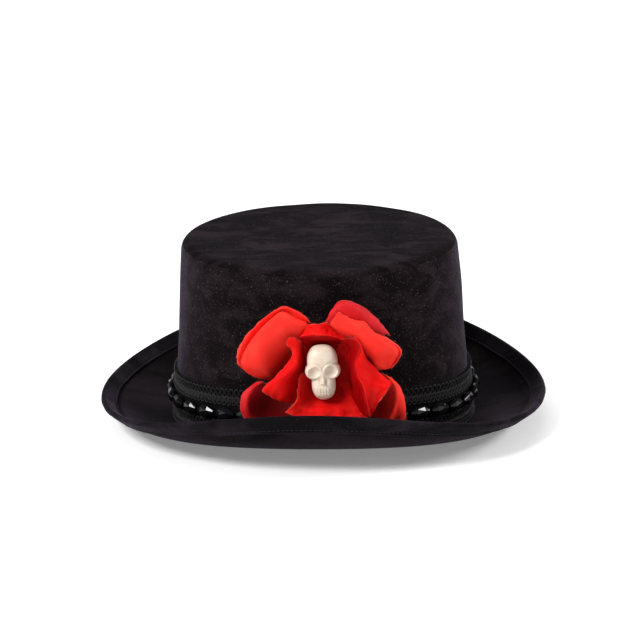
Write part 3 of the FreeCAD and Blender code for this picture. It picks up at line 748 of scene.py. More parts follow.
def make_braid_tree():
    """One cord of a braid, drawn flat and then wrapped on the band. Flat, it goes along in
    cells, swings round in a loop or a wave, and rises and falls as it crosses others."""
    tree, given, result = geometry_tree("braid cord", [
        ("Cells", "Float", 150.0), ("Points", "Int", 14), ("Swing along", "Float", 0.3),
        ("Swing up", "Float", 0.2), ("Middle", "Float", 0.5), ("Phase", "Float", 0.0),
        ("Lift", "Float", 0.001), ("Weave", "Float", 0.0004), ("Crossings", "Float", 2.0),
        ("Start", "Float", 0.0), ("Radius", "Float", 0.0004), ("Sides", "Int", 5),
        ("Finish", "Material", None)])

    def plus(a, b):
        return maths(tree, "ADD", a, b)

    def times(a, b):
        return maths(tree, "MULTIPLY", a, b)

    name = given.outputs
    count = plus(times(name["Cells"], name["Points"]), 1)
    line = wired(tree, add(tree, "GeometryNodeMeshLine", mode="OFFSET"), Count=count)
    index = add(tree, "GeometryNodeInputIndex")
    cell = maths(tree, "DIVIDE", index.outputs[0], name["Points"])
    angle = plus(times(cell, 2 * math.pi), name["Phase"])
    swing = times(maths(tree, "SINE", angle), name["Swing along"])
    u = maths(tree, "DIVIDE", plus(cell, swing), name["Cells"])
    v = plus(name["Middle"], times(maths(tree, "COSINE", angle), name["Swing up"]))
    crossing = maths(tree, "SINE", plus(times(angle, name["Crossings"]), name["Start"]))
    proud = plus(name["Lift"], times(crossing, name["Weave"]))
    held = wired(tree, add(tree, "ShaderNodeClamp"), Value=u, Min=MAP_EDGE, Max=1 - MAP_EDGE)
    flat = wired(tree, add(tree, "ShaderNodeCombineXYZ"), X=held.outputs[0], Y=v)
    source = wired(tree, add(tree, "GeometryNodeInputNamedAttribute", data_type="FLOAT_VECTOR"),
                   Name="band")
    found = []
    for kind in ("GeometryNodeInputPosition", "GeometryNodeInputNormal"):
        sampler = add(tree, "GeometryNodeSampleUVSurface", data_type="FLOAT_VECTOR")
        wired(tree, sampler, Mesh=name["Geometry"], Value=add(tree, kind).outputs[0],
              Source_UV_Map=source.outputs[0], Sample_UV=flat.outputs[0])
        found.append(sampler.outputs["Value"])
    reach = add(tree, "ShaderNodeVectorMath", operation="SCALE")
    tree.links.new(found[1], reach.inputs[0])
    tree.links.new(proud, reach.inputs["Scale"])
    spot = add(tree, "ShaderNodeVectorMath", operation="ADD")
    tree.links.new(found[0], spot.inputs[0])
    tree.links.new(reach.outputs[0], spot.inputs[1])
    wrapped = wired(tree, add(tree, "GeometryNodeSetPosition"), Geometry=line.outputs[0],
                    Position=spot.outputs[0])
    curve = wired(tree, add(tree, "GeometryNodeMeshToCurve"), Mesh=wrapped.outputs[0])
    cord = cord_along(tree, curve.outputs[0], name["Radius"], name["Sides"])
    return completed(tree, given, result, cord)


def net_faces(rows, columns):
    """Faces between neighbouring points of a net that is listed row by row."""
    return [(i * columns + j, i * columns + j + 1, (i + 1) * columns + j + 1, (i + 1) * columns + j)
            for i in range(rows - 1) for j in range(columns - 1)]


def band_guide(base, height):
    """The band's face as an open strip, mapped from 0 to 1 round it and up it."""
    t = np.linspace(math.pi / 2, 2.5 * math.pi, BAND_COLUMNS)   # the join lies behind the hat
    low, high = wall_line(-TRIM_BACK, base, t), wall_line(-TRIM_BACK, base + height, t)
    lengths = lengths_along(low)
    mesh = bpy.data.meshes.new("band_guide")
    mesh.from_pydata(np.concatenate([low, high]).tolist(), [], net_faces(2, BAND_COLUMNS))
    mesh.shade_smooth()
    layer = mesh.uv_layers.new(name="band")
    spots = [(u, v) for v in (0.0, 1.0) for u in lengths / lengths[-1]]
    for loop in mesh.loops:
        layer.data[loop.index].uv = spots[loop.vertex_index]
    return mesh, lengths[-1]


rayon = make_thread_finish("braid_rayon", (0.040, 0.038, 0.039, 1), 0.20)
braid_tree = make_braid_tree()
BAND_COLUMNS = 241
CORD_RADIUS, CORD_SIDES, CORD_LIFT = 0.00030, 5, 0.0010
LOOP_PITCH = 0.0040
ONE_DIP = dict(Crossings=1.0, Start=math.pi / 2, Points=20)
PLAIT = dict(Swing_along=0.0, Swing_up=0.15, Middle=0.34, Weave=0.00045, Points=10)
CORDS = (
    dict(Swing_along=-0.60, Swing_up=0.25, Middle=0.72, Phase=0.0, Weave=0.0005, **ONE_DIP),
    dict(Swing_along=0.55, Swing_up=0.20, Middle=0.23, Phase=0.0, Weave=-0.0005, **ONE_DIP),
    dict(Phase=0.8, **PLAIT),
    dict(Phase=3.9, **PLAIT),
)


def joined(name, parts):
    """One object from several."""
    with bpy.context.temp_override(active_object=parts[0], object=parts[0],
                                   selected_editable_objects=parts, selected_objects=parts):
        bpy.ops.object.join()
    parts[0].name = parts[0].data.name = name
    return parts[0]


for name, node, base in (("braid_lower", "gimp_lower", BAND_BASE),
                         ("braid_upper", "gimp_upper", UPPER_BASE)):
    guide, girth = band_guide(base, GIMP_WIDTH)
    made = [grown(f"{name}_cord_{i}", braid_tree, guide, Cells=float(round(girth / LOOP_PITCH)),
                  Lift=CORD_LIFT, Radius=CORD_RADIUS, Sides=CORD_SIDES, Finish=rayon, **cord)
            for i, cord in enumerate(CORDS)]
    braid = joined(name, made)
    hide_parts(node)
    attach(braid, "root")

BEAD_LENGTH, BEAD_HEIGHT, BEAD_DEPTH = 0.0155, 0.0090, 0.0064
BEAD_TIP, BEAD_BELT, BEAD_SIDES = 0.36, 0.20, 8      # end and belt as shares of the bead
BEAD_POLISH = 0.00018
BEAD_MIDDLE = BAND_BASE + GIMP_WIDTH + BEAD_ZONE / 2
BEAD_COUNT = 35


def cut_bead():
    """One bead about the origin, long in X: two cones of flat facets round a turned belt."""
    def ring(x, scale, turned):
        angles = 2 * math.pi * (np.arange(BEAD_SIDES) + turned) / BEAD_SIDES
        return [(x, scale * BEAD_DEPTH / 2 * math.cos(a), scale * BEAD_HEIGHT / 2 * math.sin(a))
                for a in angles]

    belt = BEAD_LENGTH * BEAD_BELT
    points = (ring(-BEAD_LENGTH / 2, BEAD_TIP, 0) + ring(-belt, 1, 0)
              + ring(belt, 1, 0.5) + ring(BEAD_LENGTH / 2, BEAD_TIP, 0.5))
    near, far, end = BEAD_SIDES, 2 * BEAD_SIDES, 3 * BEAD_SIDES
    faces = [tuple(reversed(range(near))), tuple(range(end, end + BEAD_SIDES))]
    for i in range(BEAD_SIDES):
        j = (i + 1) % BEAD_SIDES
        faces += [(i, j, near + j, near + i), (far + i, far + j, end + j, end + i),
                  (near + i, near + j, far + i), (near + j, far + j, far + i)]
    made = keep("cut_bead", points, faces)
    made.data.shade_flat()
    bevel = made.modifiers.new("polish", "BEVEL")
    bevel.width, bevel.segments = BEAD_POLISH, 1
    return made


def make_bead_tree():
    """Cut beads threaded end to end along a path."""
    tree, given, result = geometry_tree("bead row", [
        ("Bead", "Object", None), ("Count", "Int", 35), ("Finish", "Material", None)])
    points, facing = spots_along(tree, given, "COUNT", Count=given.outputs["Count"])
    bead = wired(tree, add(tree, "GeometryNodeObjectInfo"), Object=given.outputs["Bead"])
    placed = wired(tree, add(tree, "GeometryNodeInstanceOnPoints"), Points=points,
                   Instance=bead.outputs["Geometry"], Rotation=laid_along(tree, facing, "Y"))
    return completed(tree, given, result, placed.outputs[0], smooth=False)


jet = mottled("jet_bead", 140, 3, (0.0035, 0.0035, 0.004, 1), (0.006, 0.006, 0.007, 1),
              (0.03, 0.12), worn=0.75, Specular_IOR_Level=0.34)
fine_turns = np.linspace(0, 2 * math.pi, 1440, endpoint=False)
bead_line = wall_line(-(TRIM_BACK + BEAD_DEPTH / 2), BEAD_MIDDLE, fine_turns)
run = lengths_along(bead_line)
first = int(np.searchsorted(run, 0.5 * run[-1] / BEAD_COUNT))
bead_line, bead_facing = np.roll(bead_line, -first, 0), np.roll(outward(fine_turns), -first, 0)
pattern = cut_bead()
beads = grown("cut_beads", make_bead_tree(), path_mesh("bead_path", bead_line, bead_facing),
              Bead=pattern, Count=BEAD_COUNT, Finish=jet)
bpy.data.objects.remove(pattern)
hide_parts("bead_row")
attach(beads, "root")


# ---- Flower
# Silk petals, cut and heat-shaped, are threaded on a moulded stem that is stitched to a
# felt disc on the crown. Every petal is a soft curved sheet, and its cut edge frays.

FLOWER_X, FLOWER_Z = 0.0070, 0.0675
flower_depth = FLOWER_Z * math.tan(WALL_LEAN)
flower_turn = np.array([-math.acos(FLOWER_X / (HALF_LENGTH - flower_depth))])
stem_foot = Vector(oval_line(flower_depth, FLOWER_Z, flower_turn)[0])
level_out = Vector(outward(flower_turn)[0])
flower_out = level_out * math.cos(WALL_LEAN) + Vector((0, 0, math.sin(WALL_LEAN)))
flower_right = Vector((-level_out.y, level_out.x, 0))
flower_up = flower_out.cross(flower_right)
FLOWER_AXES = np.array([flower_right, flower_up, flower_out])


def on_flower(points):
    """Points in millimetres right, up and out from the stem's foot, placed on the hat."""
    return np.asarray(points) * 0.001 @ FLOWER_AXES + np.array(stem_foot)


def eased(points, count):
    """A row of points, or of rows, made into a smooth run of count of them."""
    points = np.asarray(points, float)
    ends = np.concatenate([[2 * points[0] - points[1]], points, [2 * points[-1] - points[-2]]])
    place = np.linspace(0, len(points) - 1, count)
    i = np.minimum(place.astype(int), len(points) - 2)
    f = (place - i).reshape((-1,) + (1,) * (points.ndim - 1))
    a, b, c, d = ends[i], ends[i + 1], ends[i + 2], ends[i + 3]
    return 0.5 * (2 * b + (c - a) * f + (2 * a - 5 * b + 4 * c - d) * f ** 2
                  + (3 * b - a - 3 * c + d) * f ** 3)


def make_petal_group():
    """Dyed silk: painted shade in the heart, a fine weave and soft streaks of dye."""
    group, given, result = group_of(
        "petal silk",
        [("Vector", "Vector", None), ("Heart", "Color", None), ("Body", "Color", None),
         ("Streak", "Color", None), ("Edge", "Color", None), ("Depth", "Float", 0.0),
         ("Cut", "Float", 0.0)],
        [("Color", "Color"), ("Roughness", "Float"), ("Height", "Float")])
    parts = wired(group, add(group, "ShaderNodeSeparateXYZ"), Vector=given.outputs["Vector"])
    dye = noise_of(group, given.outputs["Vector"], 70, 4, 0.55, 0.4)
    streaked = blended(group, ranged(group, dye, 0.45, 0.75), given.outputs["Body"],
                       given.outputs["Streak"])
    # Painted shade: the heart colour is mixed in where the petal's heart mark is high.
    deep = blended(group, given.outputs["Depth"], streaked, given.outputs["Heart"])
    warp, weft = (maths(group, "SINE", maths(group, "MULTIPLY", parts.outputs[axis],
                                             2 * math.pi / SILK_THREAD)) for axis in "XY")
    cloth = maths(group, "MULTIPLY", warp, weft)
    slub = noise_of(group, given.outputs["Vector"], 900, 2)
    # The pale colour marks frayed cut edges and painted highlights along lips.
    wired(group, result, Color=blended(group, given.outputs["Cut"], deep, given.outputs["Edge"]),
          Roughness=ranged(group, slub, 0.3, 0.7, 0.42, 0.58),
          Height=maths(group, "ADD", maths(group, "MULTIPLY", cloth, 0.5), slub))
    return group


SILK_THREAD = 0.00045
petal_group = make_petal_group()


def make_petal_silk(name, body, heart, streak, gloss, sheen):
    """Red silk for one ring of petals, with painted shade towards the stem."""
    made, tree, shader = finish_of(name, Specular_IOR_Level=gloss, Sheen_Weight=sheen,
                                   Sheen_Roughness=0.4, Sheen_Tint=(1.0, 0.30, 0.30, 1))
    cloth_place = add(tree, "ShaderNodeUVMap", uv_map="cloth").outputs[0]
    depth, cut = (add(tree, "ShaderNodeAttribute", attribute_name=mark).outputs["Fac"]
                  for mark in ("heart", "cut"))
    laid_on(tree, shader, petal_group, 0.00012, 0.5, Vector=cloth_place, Heart=heart, Body=body,
            Streak=streak, Edge=PALE_CUT_AND_HIGHLIGHT, Cut=cut, Depth=depth)
    return made


# Pale colour of the frayed cut edge, used also as a painted highlight along a rolled lip.
PALE_CUT_AND_HIGHLIGHT = (1.0, 0.16, 0.12, 1)
# The second colour of each ring is painted shade in its heart, near the stem.
outer_silk = make_petal_silk("outer_petal_silk", (1.0, 0.034, 0.024, 1), (0.24, 0.0004, 0.001, 1),
                             (1.0, 0.060, 0.038, 1), 0.06, 0.03)
back_silk = make_petal_silk("back_petal_silk", (0.66, 0.009, 0.014, 1), (0.06, 0.0003, 0.001, 1),
                            (0.80, 0.020, 0.028, 1), 0.14, 0.10)
# The inner ring is a darker copy of the silk: painted shade for the cup round the skull.
shaded_inner_silk = make_petal_silk("inner_petal_silk", (0.90, 0.007, 0.007, 1), (0.30, 0.0003, 0.001, 1),
                             (0.98, 0.024, 0.018, 1), 0.05, 0.02)
PETAL_ALONG, PETAL_ACROSS = 72, 56
PETAL_CLOTH = 0.00030
FRAY_LEAN, FRAY_TWIST, FRAY_SHORTEST, FRAY_SIDES = 0.8, 3.1, 0.25, 3


def make_fray_tree():
    """Loose threads along a cut edge, each with its own length, lean and curl."""
    tree, given, result = geometry_tree("frayed edge", [
        ("Pitch", "Float", 0.001), ("Longest", "Float", 0.0016), ("Thread", "Float", 0.00006),
        ("Seed", "Int", 0), ("Finish", "Material", None)])
    points, facing = spots_along(tree, given, "LENGTH", Length=given.outputs["Pitch"])
    out = wired(tree, add(tree, "FunctionNodeAlignRotationToVector", axis="Z"), Vector=facing)
    lean = wired(tree, add(tree, "FunctionNodeRandomValue", data_type="FLOAT_VECTOR"),
                 Seed=given.outputs["Seed"])
    lean.inputs[0].default_value = (-FRAY_LEAN, -FRAY_LEAN, -FRAY_TWIST)
    lean.inputs[1].default_value = (FRAY_LEAN, FRAY_LEAN, FRAY_TWIST)
    turn = wired(tree, add(tree, "FunctionNodeEulerToRotation"), Euler=lean.outputs[0])
    rotated = add(tree, "FunctionNodeRotateRotation", rotation_space="LOCAL")
    tree.links.new(out.outputs[0], rotated.inputs[0])
    tree.links.new(turn.outputs[0], rotated.inputs[1])
    length = wired(tree, add(tree, "FunctionNodeRandomValue", data_type="FLOAT"),
                   Seed=given.outputs["Seed"])
    length.inputs[2].default_value = FRAY_SHORTEST
    bend = wired(tree, add(tree, "GeometryNodeCurveQuadraticBezier"), Resolution=4,
                 Start=(0, 0, -0.15), Middle=(0.05, 0, 0.6), End=(0.45, 0, 1))
    girth = maths(tree, "DIVIDE", given.outputs["Thread"], given.outputs["Longest"])
    thread = cord_along(tree, bend.outputs[0], girth, FRAY_SIDES)
    placed = wired(tree, add(tree, "GeometryNodeInstanceOnPoints"), Points=points,
                   Instance=thread, Rotation=rotated.outputs[0],
                   Scale=maths(tree, "MULTIPLY", length.outputs[1], given.outputs["Longest"]))
    return completed(tree, given, result, placed.outputs[0], smooth=False)


fray_tree = make_fray_tree()
frayed_silk = make_thread_finish("frayed_silk", (1.0, 0.17, 0.13, 1), 0.5)


FRAY_PITCH, FRAY_LENGTH, FRAY_THREAD = 0.0007, 0.0015, 0.000055
PALE_EDGE, LIP_HIGHLIGHT = 0.0006, 0.0004            # widths of the paler cut and of the painted highlight along a rolled lip
ROOT_SHADE = 0.004                              # how far the sides of the root stay unpaled
FOLDS = (0.009, 1.0, 0)                         # width, height and seed step of the soft folds
CREASES = (0.0035, 1.0, 5)
NICKS = (0.0012, 0.35, 9)


def stepped(points, axis):
    """Length of the step at each point of a net, along one of its axes."""
    return np.linalg.norm(np.gradient(points, axis=axis), axis=-1)


def marked(made, name, values):
    """Keeps one number for each point of a piece, for its finish to read."""
    layer = made.data.attributes.new(name, "FLOAT", "POINT")
    layer.data.foreach_set("value", np.asarray(values).astype(np.float32).ravel())


def petal_points(net, ripple, seed, along, across):
    """A petal's net made smooth, with small folds that grow towards its free edge and an
    uneven cut. It also gives the ways towards the tip and to the side at each point."""
    grid = eased(net, PETAL_ALONG)
    points = on_flower(np.swapaxes(eased(np.swapaxes(grid, 0, 1), PETAL_ACROSS), 0, 1))
    normal = np.cross(np.gradient(points, axis=0), np.gradient(points, axis=1))
    normal /= np.maximum(np.linalg.norm(normal, axis=-1, keepdims=True), 1e-12)
    free = np.maximum(along ** 3, np.abs(across) ** 4 * along)
    flat = points.reshape(-1, 3)
    soft, fine, cut = (unevenness(flat, size, height, seed + step).reshape(along.shape)
                       for size, height, step in (FOLDS, CREASES, NICKS))
    points = points + normal * (ripple * (0.6 * soft + 0.35 * fine) * (0.25 + free))[..., None]
    rise, aside = np.gradient(points, axis=0), np.gradient(points, axis=1)
    points[-1] += rise[-1] * cut[-1][:, None]
    points[:, 0] -= aside[:, 0] * cut[:, 0][:, None]
    points[:, -1] += aside[:, -1] * cut[:, -1][:, None]
    return points, rise, aside


def silk_petal(node, finish, net, ripple, seed, deep=0.42, fade=None, lip=None):
    """One petal from a net of points, root to tip and edge to edge, in millimetres right,
    up and out from the stem, with painted shade in its heart, a pale cut edge, a painted
    highlight along its lip where one is given, and loose threads."""
    along, across = np.meshgrid(np.linspace(0, 1, PETAL_ALONG), np.linspace(-1, 1, PETAL_ACROSS),
                                indexing="ij")
    points, rise, aside = petal_points(net, ripple, seed, along, across)
    reach = np.linalg.norm(np.diff(points, axis=0), axis=-1).sum(0).max()
    width = np.linalg.norm(np.diff(points, axis=1), axis=-1).sum(1).max()
    uv = np.stack([across * width / 2, along * reach], -1).reshape(-1, 2)
    made = keep("silk_" + node, points.reshape(-1, 3), net_faces(PETAL_ALONG, PETAL_ACROSS), uv)
    # Painted shade in the heart of the petal, deepest at the stem and fading out along it.
    marked(made, "heart", np.clip((deep - along) / (fade or deep), 0, 1) ** 0.9)
    sideways = np.linalg.norm(aside, axis=-1)
    from_tip = np.cumsum(stepped(points[::-1], 0), 0)[::-1]
    from_side = np.minimum(np.cumsum(sideways, 1), np.cumsum(sideways[:, ::-1], 1)[:, ::-1])
    from_edge = np.minimum(from_tip, from_side + ROOT_SHADE * np.clip(1 - along * 3, 0, 1))
    pale = np.clip(1.5 - from_edge / PALE_EDGE, 0, 0.7)
    # Painted highlight along the rolled lip, in the pale colour of the cut.
    if lip:
        pale = np.maximum(pale, 0.55 * hump((along - lip) * reach, LIP_HIGHLIGHT))
    marked(made, "cut", pale)
    edge = np.concatenate([points[2:-1, 0], points[-1], points[-2:1:-1, -1]])
    away = np.concatenate([-aside[2:-1, 0], rise[-1], aside[-2:1:-1, -1]])
    fray = grown("fray_" + node, fray_tree, path_mesh("fray_path", edge, away, closed=False),
                 Pitch=FRAY_PITCH, Longest=FRAY_LENGTH, Thread=FRAY_THREAD, Seed=seed,
                 Finish=frayed_silk)
    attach(fray, "root")
    made.data.materials.append(finish)
    wall = made.modifiers.new("cloth", "SOLIDIFY")
    wall.thickness, wall.offset = PETAL_CLOTH, 0
    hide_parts(node)
    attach(made, "root")


silk_petal("outer_petal_upper_left", outer_silk, [
    [(-4, 3.5, 9), (-5, 1.5, 9), (-5.5, 1, 9), (-5.5, 0, 9), (-6, -2, 9), (-5.5, -4, 9), (-4, -6, 9)],
    [(-9.5, 21.5, 9), (-12.5, 19, 8), (-15.5, 16, 8), (-20, 10.5, 8), (-24.5, 3.5, 8), (-29, -3.5, 8),
     (-28.5, -7, 7)],
    [(-8.5, 29.5, 12), (-14, 30, 17), (-18.5, 28.5, 19.5), (-29, 24, 21), (-38.5, 15.5, 21),
     (-40.5, 3, 17), (-37.5, -9, 4)],
    [(-11, 33, 11), (-18, 36.5, 18), (-27, 42, 21), (-34.5, 36.5, 22), (-45.5, 25.5, 21),
     (-52.5, 8.5, 16), (-50, -5, 4)],
    [(-10.5, 33.5, 10), (-17, 36, 12), (-26.5, 42, 14), (-36.5, 36, 15), (-47.5, 24, 14),
     (-56, 9, 11), (-55, -1, 4)],
    [(-9, 32.5, 11), (-15, 39, 14), (-26, 45, 16.5), (-40, 37.5, 17.5), (-53, 22.5, 16.5),
     (-57.5, 9.5, 13), (-56.5, 1.5, 4)],
    [(-8, 31.5, 10), (-13.5, 39, 12), (-26.5, 45, 13), (-41.5, 36, 14), (-54.5, 22, 13),
     (-58.5, 9, 10), (-57.5, 3, 4)],
], ripple=0.0016, seed=1)
silk_petal("outer_petal_top", back_silk, [
    [(-2.5, 2.5, 7), (-1, 3.5, 7), (0.5, 4, 7), (2, 3, 7), (3.5, 2.5, 7)],
    [(-1, 20.5, 8), (5.5, 22, 9), (14.5, 20.5, 9), (23, 16.5, 8), (28.5, 11.5, 7)],
    [(0, 29, 9), (5.5, 35.5, 12), (17, 36, 14), (29, 30.5, 12), (39, 19.5, 8)],
    [(1.5, 33, 9), (8, 43.5, 12), (18, 45.5, 14), (30.5, 37.5, 11), (41.5, 22.5, 7)],
    [(2.5, 33.5, 6), (10, 45, 7), (17.5, 46.5, 8), (31.5, 38, 6), (44, 20.5, 5)],
], ripple=0.0016, seed=2)
silk_petal("outer_petal_right", outer_silk, [
    [(0.5, 3.5, 10), (2, 2.5, 10), (3, 1.5, 10), (3.5, 0.5, 10), (4, -1, 10), (3.5, -3, 10), (3, -4.5, 10)],
    [(3.5, 27, 9), (8.5, 21, 8), (13.5, 16.5, 8), (18.5, 12, 8), (23, 7, 8), (27, 2.5, 8), (29.5, -2.5, 9)],
    [(4.5, 32.5, 15), (12, 28, 17), (19.5, 23.5, 18), (25.5, 19, 19), (30.5, 14.5, 19),
     (34, 8.5, 17), (34.5, -1.5, 12)],
    [(7, 37.5, 18), (15, 34, 20), (23.5, 30, 21), (30.5, 26, 21), (38, 20.5, 21),
     (43.5, 13, 19), (40.5, 0, 12)],
    [(9, 40.5, 18), (19, 35.5, 19), (27, 33.5, 19), (32.5, 27.5, 18), (43.5, 19.5, 18.5),
     (48.5, 12, 17), (43, 0, 11.5)],
    [(9.5, 40.5, 17), (19.5, 35.5, 17), (27.5, 33.5, 16.5), (32.5, 27.5, 15.5), (45.5, 19, 14.5),
     (50, 11, 12), (44.5, -0.5, 9)],
    [(10, 41, 15), (20, 35.5, 15), (28, 33.5, 14), (33, 27, 13), (46, 19.5, 14),
     (52, 11.5, 14.5), (45.5, 0, 11)],
], ripple=0.0016, seed=3)
silk_petal("outer_petal_lower_left", back_silk, [
    [(-4, -4, 4), (-5, -5, 4), (-5, -7, 4), (-5, -8.5, 4), (-4, -10, 4)],
    [(-28, -11.5, 4), (-29.5, -16.5, 3.5), (-31.5, -23.5, 3.5), (-30.5, -29.5, 3.5), (-26.5, -35.5, 4)],
    [(-38.5, -11.5, 7), (-41, -16.5, 7), (-45, -23.5, 7), (-46, -31.5, 7), (-41, -39, 6)],
    [(-41.5, -7.5, 12), (-47.5, -11.5, 14), (-51.5, -19, 15), (-51, -28.5, 14), (-43.5, -39.5, 10)],
    [(-45, -8.5, 10), (-52, -12, 12), (-55.5, -20.5, 12), (-54, -31.5, 11), (-46, -42.5, 8)],
    [(-46, -10, 6), (-53.5, -14, 7), (-57, -22, 7), (-55.5, -33, 7), (-47, -44, 6)],
], ripple=0.0016, seed=4, deep=0.7)
silk_petal("outer_petal_lower_right", outer_silk, [
    [(2.5, -4.5, 7), (3.5, -6, 7), (3.5, -7.5, 7), (3, -9, 7), (2, -10.5, 7)],
    [(29.5, -6.5, 6), (31.5, -12.5, 5), (32.5, -20, 5), (32.5, -28, 5), (30, -34.5, 6)],
    [(38, -4.5, 9), (41, -10.5, 9), (42.5, -19, 9), (42, -28, 9), (39, -38, 8)],
    [(40.5, -4, 13), (46, -10, 15), (48, -19, 16), (47.5, -28.5, 15), (42.5, -39.5, 11)],
    [(43.5, -6, 12), (49, -12.5, 13), (51.5, -21, 13), (51.5, -32, 12), (45.5, -42.5, 10)],
    [(45, -8, 7), (51, -15.5, 8), (53.5, -24.5, 8), (53.5, -35.5, 8), (47.5, -46, 7)],
], ripple=0.0016, seed=5)
silk_petal("outer_petal_bottom", outer_silk, [
    [(-4, -7, 6), (-2.5, -8, 6), (-1, -9, 6), (1, -8, 6), (2.5, -7, 6)],
    [(-17, -18, 8), (-9, -22, 7), (-1, -23, 7), (6.5, -22, 7), (14.5, -18.5, 8)],
    [(-21.5, -28, 13), (-11.5, -31.5, 13), (-1.5, -33, 13), (8.5, -32, 13), (19, -28.5, 13)],
    [(-19.5, -35.5, 15), (-10.5, -40, 16), (-1.5, -41.5, 16), (7.5, -40.5, 16), (16.5, -36.5, 15)],
], ripple=0.0016, seed=6)
silk_petal("inner_petal_top", shaded_inner_silk, [
    [(-6, 4.5, 13), (-3.5, 5.5, 13), (-0.5, 6, 13), (2, 5.5, 13), (5, 4.5, 13)],
    [(-16, 13.5, 13), (-8, 17, 12), (-0.5, 18, 12), (8, 17.5, 12), (16, 14.5, 13)],
    [(-20, 18, 13.5), (-10, 23, 17), (0, 23.5, 18.5), (8.5, 22, 17), (16, 17, 13)],
    [(-21.5, 21.5, 14), (-11.5, 26.5, 20), (-3.5, 27, 21.5), (5.5, 25.5, 20), (15.5, 19.5, 13)],
    [(-22, 23, 13.5), (-11.5, 27.5, 19), (-3.5, 28, 20), (5.5, 26.5, 18.5), (14.5, 21.5, 12)],
    [(-19, 27, 12.5), (-10.5, 30, 16), (-3.5, 30.5, 16.5), (3.5, 29.5, 15.5), (11, 25, 11)],
    [(-13, 30.5, 11.5), (-8.5, 32.5, 13), (-3.5, 32, 13.5), (2, 32.5, 12.5), (7, 29, 11)],
], ripple=0.0028, seed=7, deep=0.58, fade=0.16, lip=0.60)
silk_petal("inner_petal_bottom", shaded_inner_silk, [
    [(-6, -4.5, 13), (-3.5, -6, 13), (-1, -6.5, 13), (2, -6, 13), (5, -5, 13)],
    [(-15.5, 0.5, 22), (-11, -12, 16), (-1, -17, 14), (11.5, -15.5, 14), (26, -12, 15)],
    [(-17.5, -8.5, 26), (-13.5, -18, 21), (-1, -21, 18), (12.5, -21, 17), (28, -20.5, 17)],
    [(-19, -16, 27), (-15, -22.5, 25), (-1, -25, 23), (13, -26.5, 21), (29, -29, 18)],
    [(-26.5, -24.5, 27), (-16, -29.5, 28), (-1.5, -33, 28), (14, -34, 26), (30, -36, 21)],
], ripple=0.0022, seed=8, deep=0.75)
silk_petal("inner_petal_left", shaded_inner_silk, [
    [(-5, 2.5, 14), (-5.5, 1, 14), (-6, -1, 14), (-6, -2.5, 14), (-5, -4.5, 14)],
    [(-13, 17, 15), (-12.5, 9.5, 13), (-12.5, 1.5, 13), (-14, -9, 14), (-17.5, -19, 15)],
    [(-16.5, 24, 22), (-16, 14, 19), (-17, 5, 18), (-20.5, -8, 16), (-23, -21.5, 16)],
    [(-20, 27, 25), (-18.5, 16.5, 23), (-19.5, 6.5, 24), (-27.5, -3.5, 23.5), (-29, -20, 18)],
    [(-23.5, 26, 25.5), (-20, 16, 22), (-24, 7, 23), (-35.5, -6.5, 23), (-33.5, -18, 18)],
    [(-24.5, 22, 23), (-21, 14.5, 19.5), (-27, 4, 19.5), (-41.5, -10, 19.5), (-37.5, -16, 16)],
], ripple=0.0022, seed=9, deep=0.56, fade=0.30)
silk_petal("inner_petal_right", shaded_inner_silk, [
    [(4, 3, 14), (4.5, 2, 14), (5, 0, 14), (5, -1.5, 14), (4.5, -3, 14), (4, -4.5, 14)],
    [(11, 19.5, 15), (16, 12.5, 14), (16.5, 4.5, 14), (16.5, -5, 14), (16.5, -15.5, 14), (15.5, -27.5, 16)],
    [(14.5, 23, 19), (20, 17, 21), (18.5, 8, 22), (18.5, -1.5, 22), (21, -12, 21), (25, -29.5, 19)],
    [(20.5, 25, 22.5), (25, 19, 26), (21, 9.5, 28), (22, 0, 27.5), (26, -11, 25), (28.5, -31, 21.5)],
    [(22, 24, 20), (25.5, 17.5, 22), (22, 8, 23.5), (23, -1, 23.5), (27, -12, 22), (30, -31.5, 19.5)],
    [(25.5, 16, 17), (28, 10, 18), (29, 2.5, 19), (30.5, -4.5, 19.5), (32, -13, 20), (31.5, -29, 19)],
    [(26.5, 10, 14.5), (32, 5, 16.5), (36, -0.5, 18), (37, -7, 19), (37, -13.5, 20), (34, -25, 19)],
    [(27, 7.5, 13.5), (34, 1, 15.5), (44, -7, 18), (42.5, -11.5, 19.5), (40, -15.5, 20.5), (35.5, -21, 20)],
], ripple=0.0022, seed=10, deep=0.52, fade=0.16, lip=0.47)


# ---- Skull
# A small skull cast in cream resin with a flat back, glued to the end of the stem. It is
# cast in one piece: round sockets with raised rims, a short nose ridge and cut teeth.

SKULL_BACK = 16.1
SOCKET_X, SOCKET_Y, SOCKET_REACH = 6.0, 1.9, 5.15
SKULL_AROUND, SKULL_RINGS, SKULL_REACH = 360, 104, 22
CRANIUM = dict(middle=6.6, half_width=10.3, half_height=12.6, squareness=2.5, height=9.3, fullness=0.42)
JAW = dict(middle=-8.2, half_width=8.1, half_height=10.9, squareness=2.3, height=8.4, fullness=0.40)
SOCKET_RIM = dict(middle=0, half_width=5.9, half_height=5.75, squareness=2.0, height=9.1, fullness=0.22)
SOCKET_FLOOR, SOCKET_EDGE = 6.3, 9.4            # heights of the dish at its middle and its edge
BROW_REACH, BROW_CREASE = 6.5, 0.55
NOSE_TOP, NOSE_TIP, NOSE_RISE, NOSE_BALL = 2.4, -6.6, 1.5, -4.9
NOSTRIL_X, NOSTRIL_Y, NOSTRIL_DEPTH = 2.1, -4.6, 0.85
LIP_LINE, TEETH_TOP, BITE, TEETH_BOTTOM = -7.2, -8.6, -12.3, -16.2
TOOTH_WIDTH, TOOTH_ROW = 2.0, 6.6


def oval_bulge(x, y, middle, half_width, half_height, squareness, height, fullness):
    """Height of a pillow over a squarish oval, falling below zero outside it."""
    edge = 1 - np.abs(x / half_width) ** squareness - np.abs((y - middle) / half_height) ** squareness
    return height * np.sign(edge) * np.abs(edge) ** fullness


def merged(a, b, softness):
    """The higher of two surfaces, with the corner between them filled in."""
    return 0.5 * (a + b + np.sqrt((a - b) ** 2 + softness ** 2))


